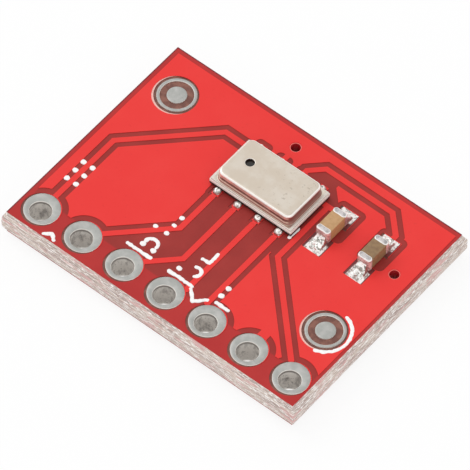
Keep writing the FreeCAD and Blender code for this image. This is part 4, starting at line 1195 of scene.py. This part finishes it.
# Finishes inside the package: two tones, scale of the grain, roughness, relief and metal
innerLook = {
    "greyAdhesive": ((92, 90, 88), (70, 68, 66), 9.0, 0.5, 0.004, 0.0),
    "lidSealMetal": ((226, 220, 210), (206, 198, 188), 9.0, 0.4, 0.002, 0.0),
    "pedestalGlass": ((196, 214, 206), (178, 200, 192), 4.0, 0.12, 0.002, 0.0),
    "polishedSilicon": ((96, 98, 108), (74, 76, 88), 6.0, 0.18, 0.001, 0.7),
    "bondGold": ((226, 178, 92), (206, 156, 74), 12.0, 0.22, 0.001, 1.0),
    # the gel is painted near black: the die seen through clear gel, and painted shade inside the lid under
    # the vent
    "darkGelAndShade": ((40, 38, 36), (28, 26, 24), 2.0, 0.08, 0.004, 0.0),
}


def innerFinish(name):
    first, second, scale, rough, depth, metal = innerLook[name]

    def build(paint):
        grain = paint.grain(scale, 3.0)
        return {"Base Color": paint.mix(grain, first, second), "Roughness": rough + grain * 0.2,
                "Normal": paint.bump(grain, depth, 0.5)}
    return finish(name, build, Metallic=metal)


innerFinishes = {name: innerFinish(name) for name in innerLook}


# Seal between base and lid, squeezed out to the edge of the rim
def makeSeal():
    low, high = nodeBox("lid_seal")
    outX, outY = [half - 0.003 for half in sensorLid["rimHalf"]]
    inX, inY = [half - sensorLid["wall"] for half in sensorLid["domeHalf"]]
    inner, outer = sensorLid["innerCorner"], sensorLid["rimCorner"]
    rows = [(inX, inY, inner, high.z), (inX, inY, inner, low.z),
            (outX, outY, outer, low.z), (outX, outY, outer, high.z)]
    points = stack(sensorMiddle, rows)
    faces = bridge(len(rows), len(points) // len(rows), closed=True)
    meshPiece("lidSeal", points, faces, innerFinishes["lidSealMetal"], "adhesive", ("lid_seal",), 50)


makeSeal()

# Nodes that keep their CAD meshes: the copper and most of the package's inside
carried = {
    "pedestal_adhesive": "greyAdhesive",
    "converter_adhesive": "greyAdhesive",
    "glass_pedestal": "pedestalGlass",
    "pressure_die": "polishedSilicon",
    "converter_die": "polishedSilicon",
    "bond_wires": "bondGold",
    "package_contacts": "bondGold",
    "package_gel": "darkGelAndShade",
}
for node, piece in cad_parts.items():
    worn = innerFinishes.get(carried.get(node))
    if node.startswith(("trace", "ground_pour")):
        worn = copperFinish
    if worn:
        for slot in piece.material_slots:
            slot.material = worn
print("inner pieces finished")

# Floor, lamps and camera, in metres and watts
studio = {
    "sky": 0.8,
    "key": (-0.40, 0.02, 0.42, 0.72, 0.34),  # place, power and width
    "fill": (0.34, -0.22, 0.34, 0.22, 0.4),
    "floorHalf": 1.5,
    "floorDrop": 0.002,  # millimetres under the rings
    "floorGlow": 0.85,
    "floorCard": 0.99,
}


# One for rays from the camera and through reflections or glass, zero for those that light the part
def whiteForRays(paint):
    camera, glossy, through = [paint.node("LightPath", output="Is %s Ray" % kind)
                               for kind in ("Camera", "Glossy", "Transmission")]
    return camera.larger(glossy.larger(through))


def makeSky():
    world = bpy.data.worlds.new("softRoom")
    bpy.context.scene.world = world
    world.use_nodes = True
    paint = Paint(world.node_tree)
    strength = studio["sky"] + whiteForRays(paint) * (1 - studio["sky"])
    sky = paint.node("Background", {}, {"Color": (1.0, 1.0, 1.0), "Strength": strength})
    paint.node("OutputWorld", {}, {"Surface": sky})


def makeFloor():
    mesh = bpy.data.meshes.new("floor")
    half, level = studio["floorHalf"], -studio["floorDrop"] * mm
    mesh.from_pydata([(-half, -half, level), (half, -half, level), (half, half, level), (-half, half, level)],
                     [], [(0, 1, 2, 3)])
    floor = addObject("floor", mesh)
    material = bpy.data.materials.new("paleFloor")
    material.use_nodes = True
    paint = Paint(material.node_tree)
    card = paint.node("BsdfDiffuse", {}, {"Color": [studio["floorCard"]] * 3})
    glow = paint.node("Emission", {}, {"Color": (1.0, 1.0, 1.0), "Strength": 1.0})
    both = paint.node("MixShader", {}, {0: whiteForRays(paint) * studio["floorGlow"], 1: card, 2: glow})
    paint.node("OutputMaterial", {}, {"Surface": both})
    mesh.materials.append(material)


def makeLamp(name):
    x, y, z, power, width = studio[name]
    lamp = bpy.data.lights.new(name + "Lamp", "AREA")
    lamp.energy = power
    lamp.size = width
    holder = addObject(name + "Lamp", lamp)
    holder.location = (x, y, z)
    holder.rotation_euler = (-Vector((x, y, z))).to_track_quat("-Z", "Y").to_euler()


# The photograph's view, with its target and distance in millimetres
lens = {
    "azimuth": 38.3,
    "elevation": 54.326,
    "roll": 1.187,
    "target": (0.487, -0.53, 1.62),
    "distance": 305.654,
    "length": 493.456,
    "sensorWidth": 36,
}


def makeCamera():
    azimuth, elevation, roll = [math.radians(lens[key]) for key in ("azimuth", "elevation", "roll")]
    flat = math.cos(elevation)
    back = Vector((math.sin(azimuth) * flat, -math.cos(azimuth) * flat, math.sin(elevation)))
    camera = addObject("camera", bpy.data.cameras.new("camera"))
    camera.data.lens = lens["length"]
    camera.data.sensor_width = lens["sensorWidth"]
    camera.data.clip_start = 0.01
    camera.data.clip_end = 10
    turn = (-back).to_track_quat("-Z", "Y").to_matrix().to_4x4() @ Matrix.Rotation(roll, 4, "Z")
    place = (Vector(lens["target"]) + back * lens["distance"]) * mm
    camera.matrix_world = Matrix.Translation(place) @ turn
    bpy.context.scene.camera = camera


makeSky()
makeFloor()
makeLamp("key")
makeLamp("fill")
makeCamera()
bpy.context.scene.view_settings.view_transform = "Standard"
print("studio made")

bpy.context.view_layer.update()
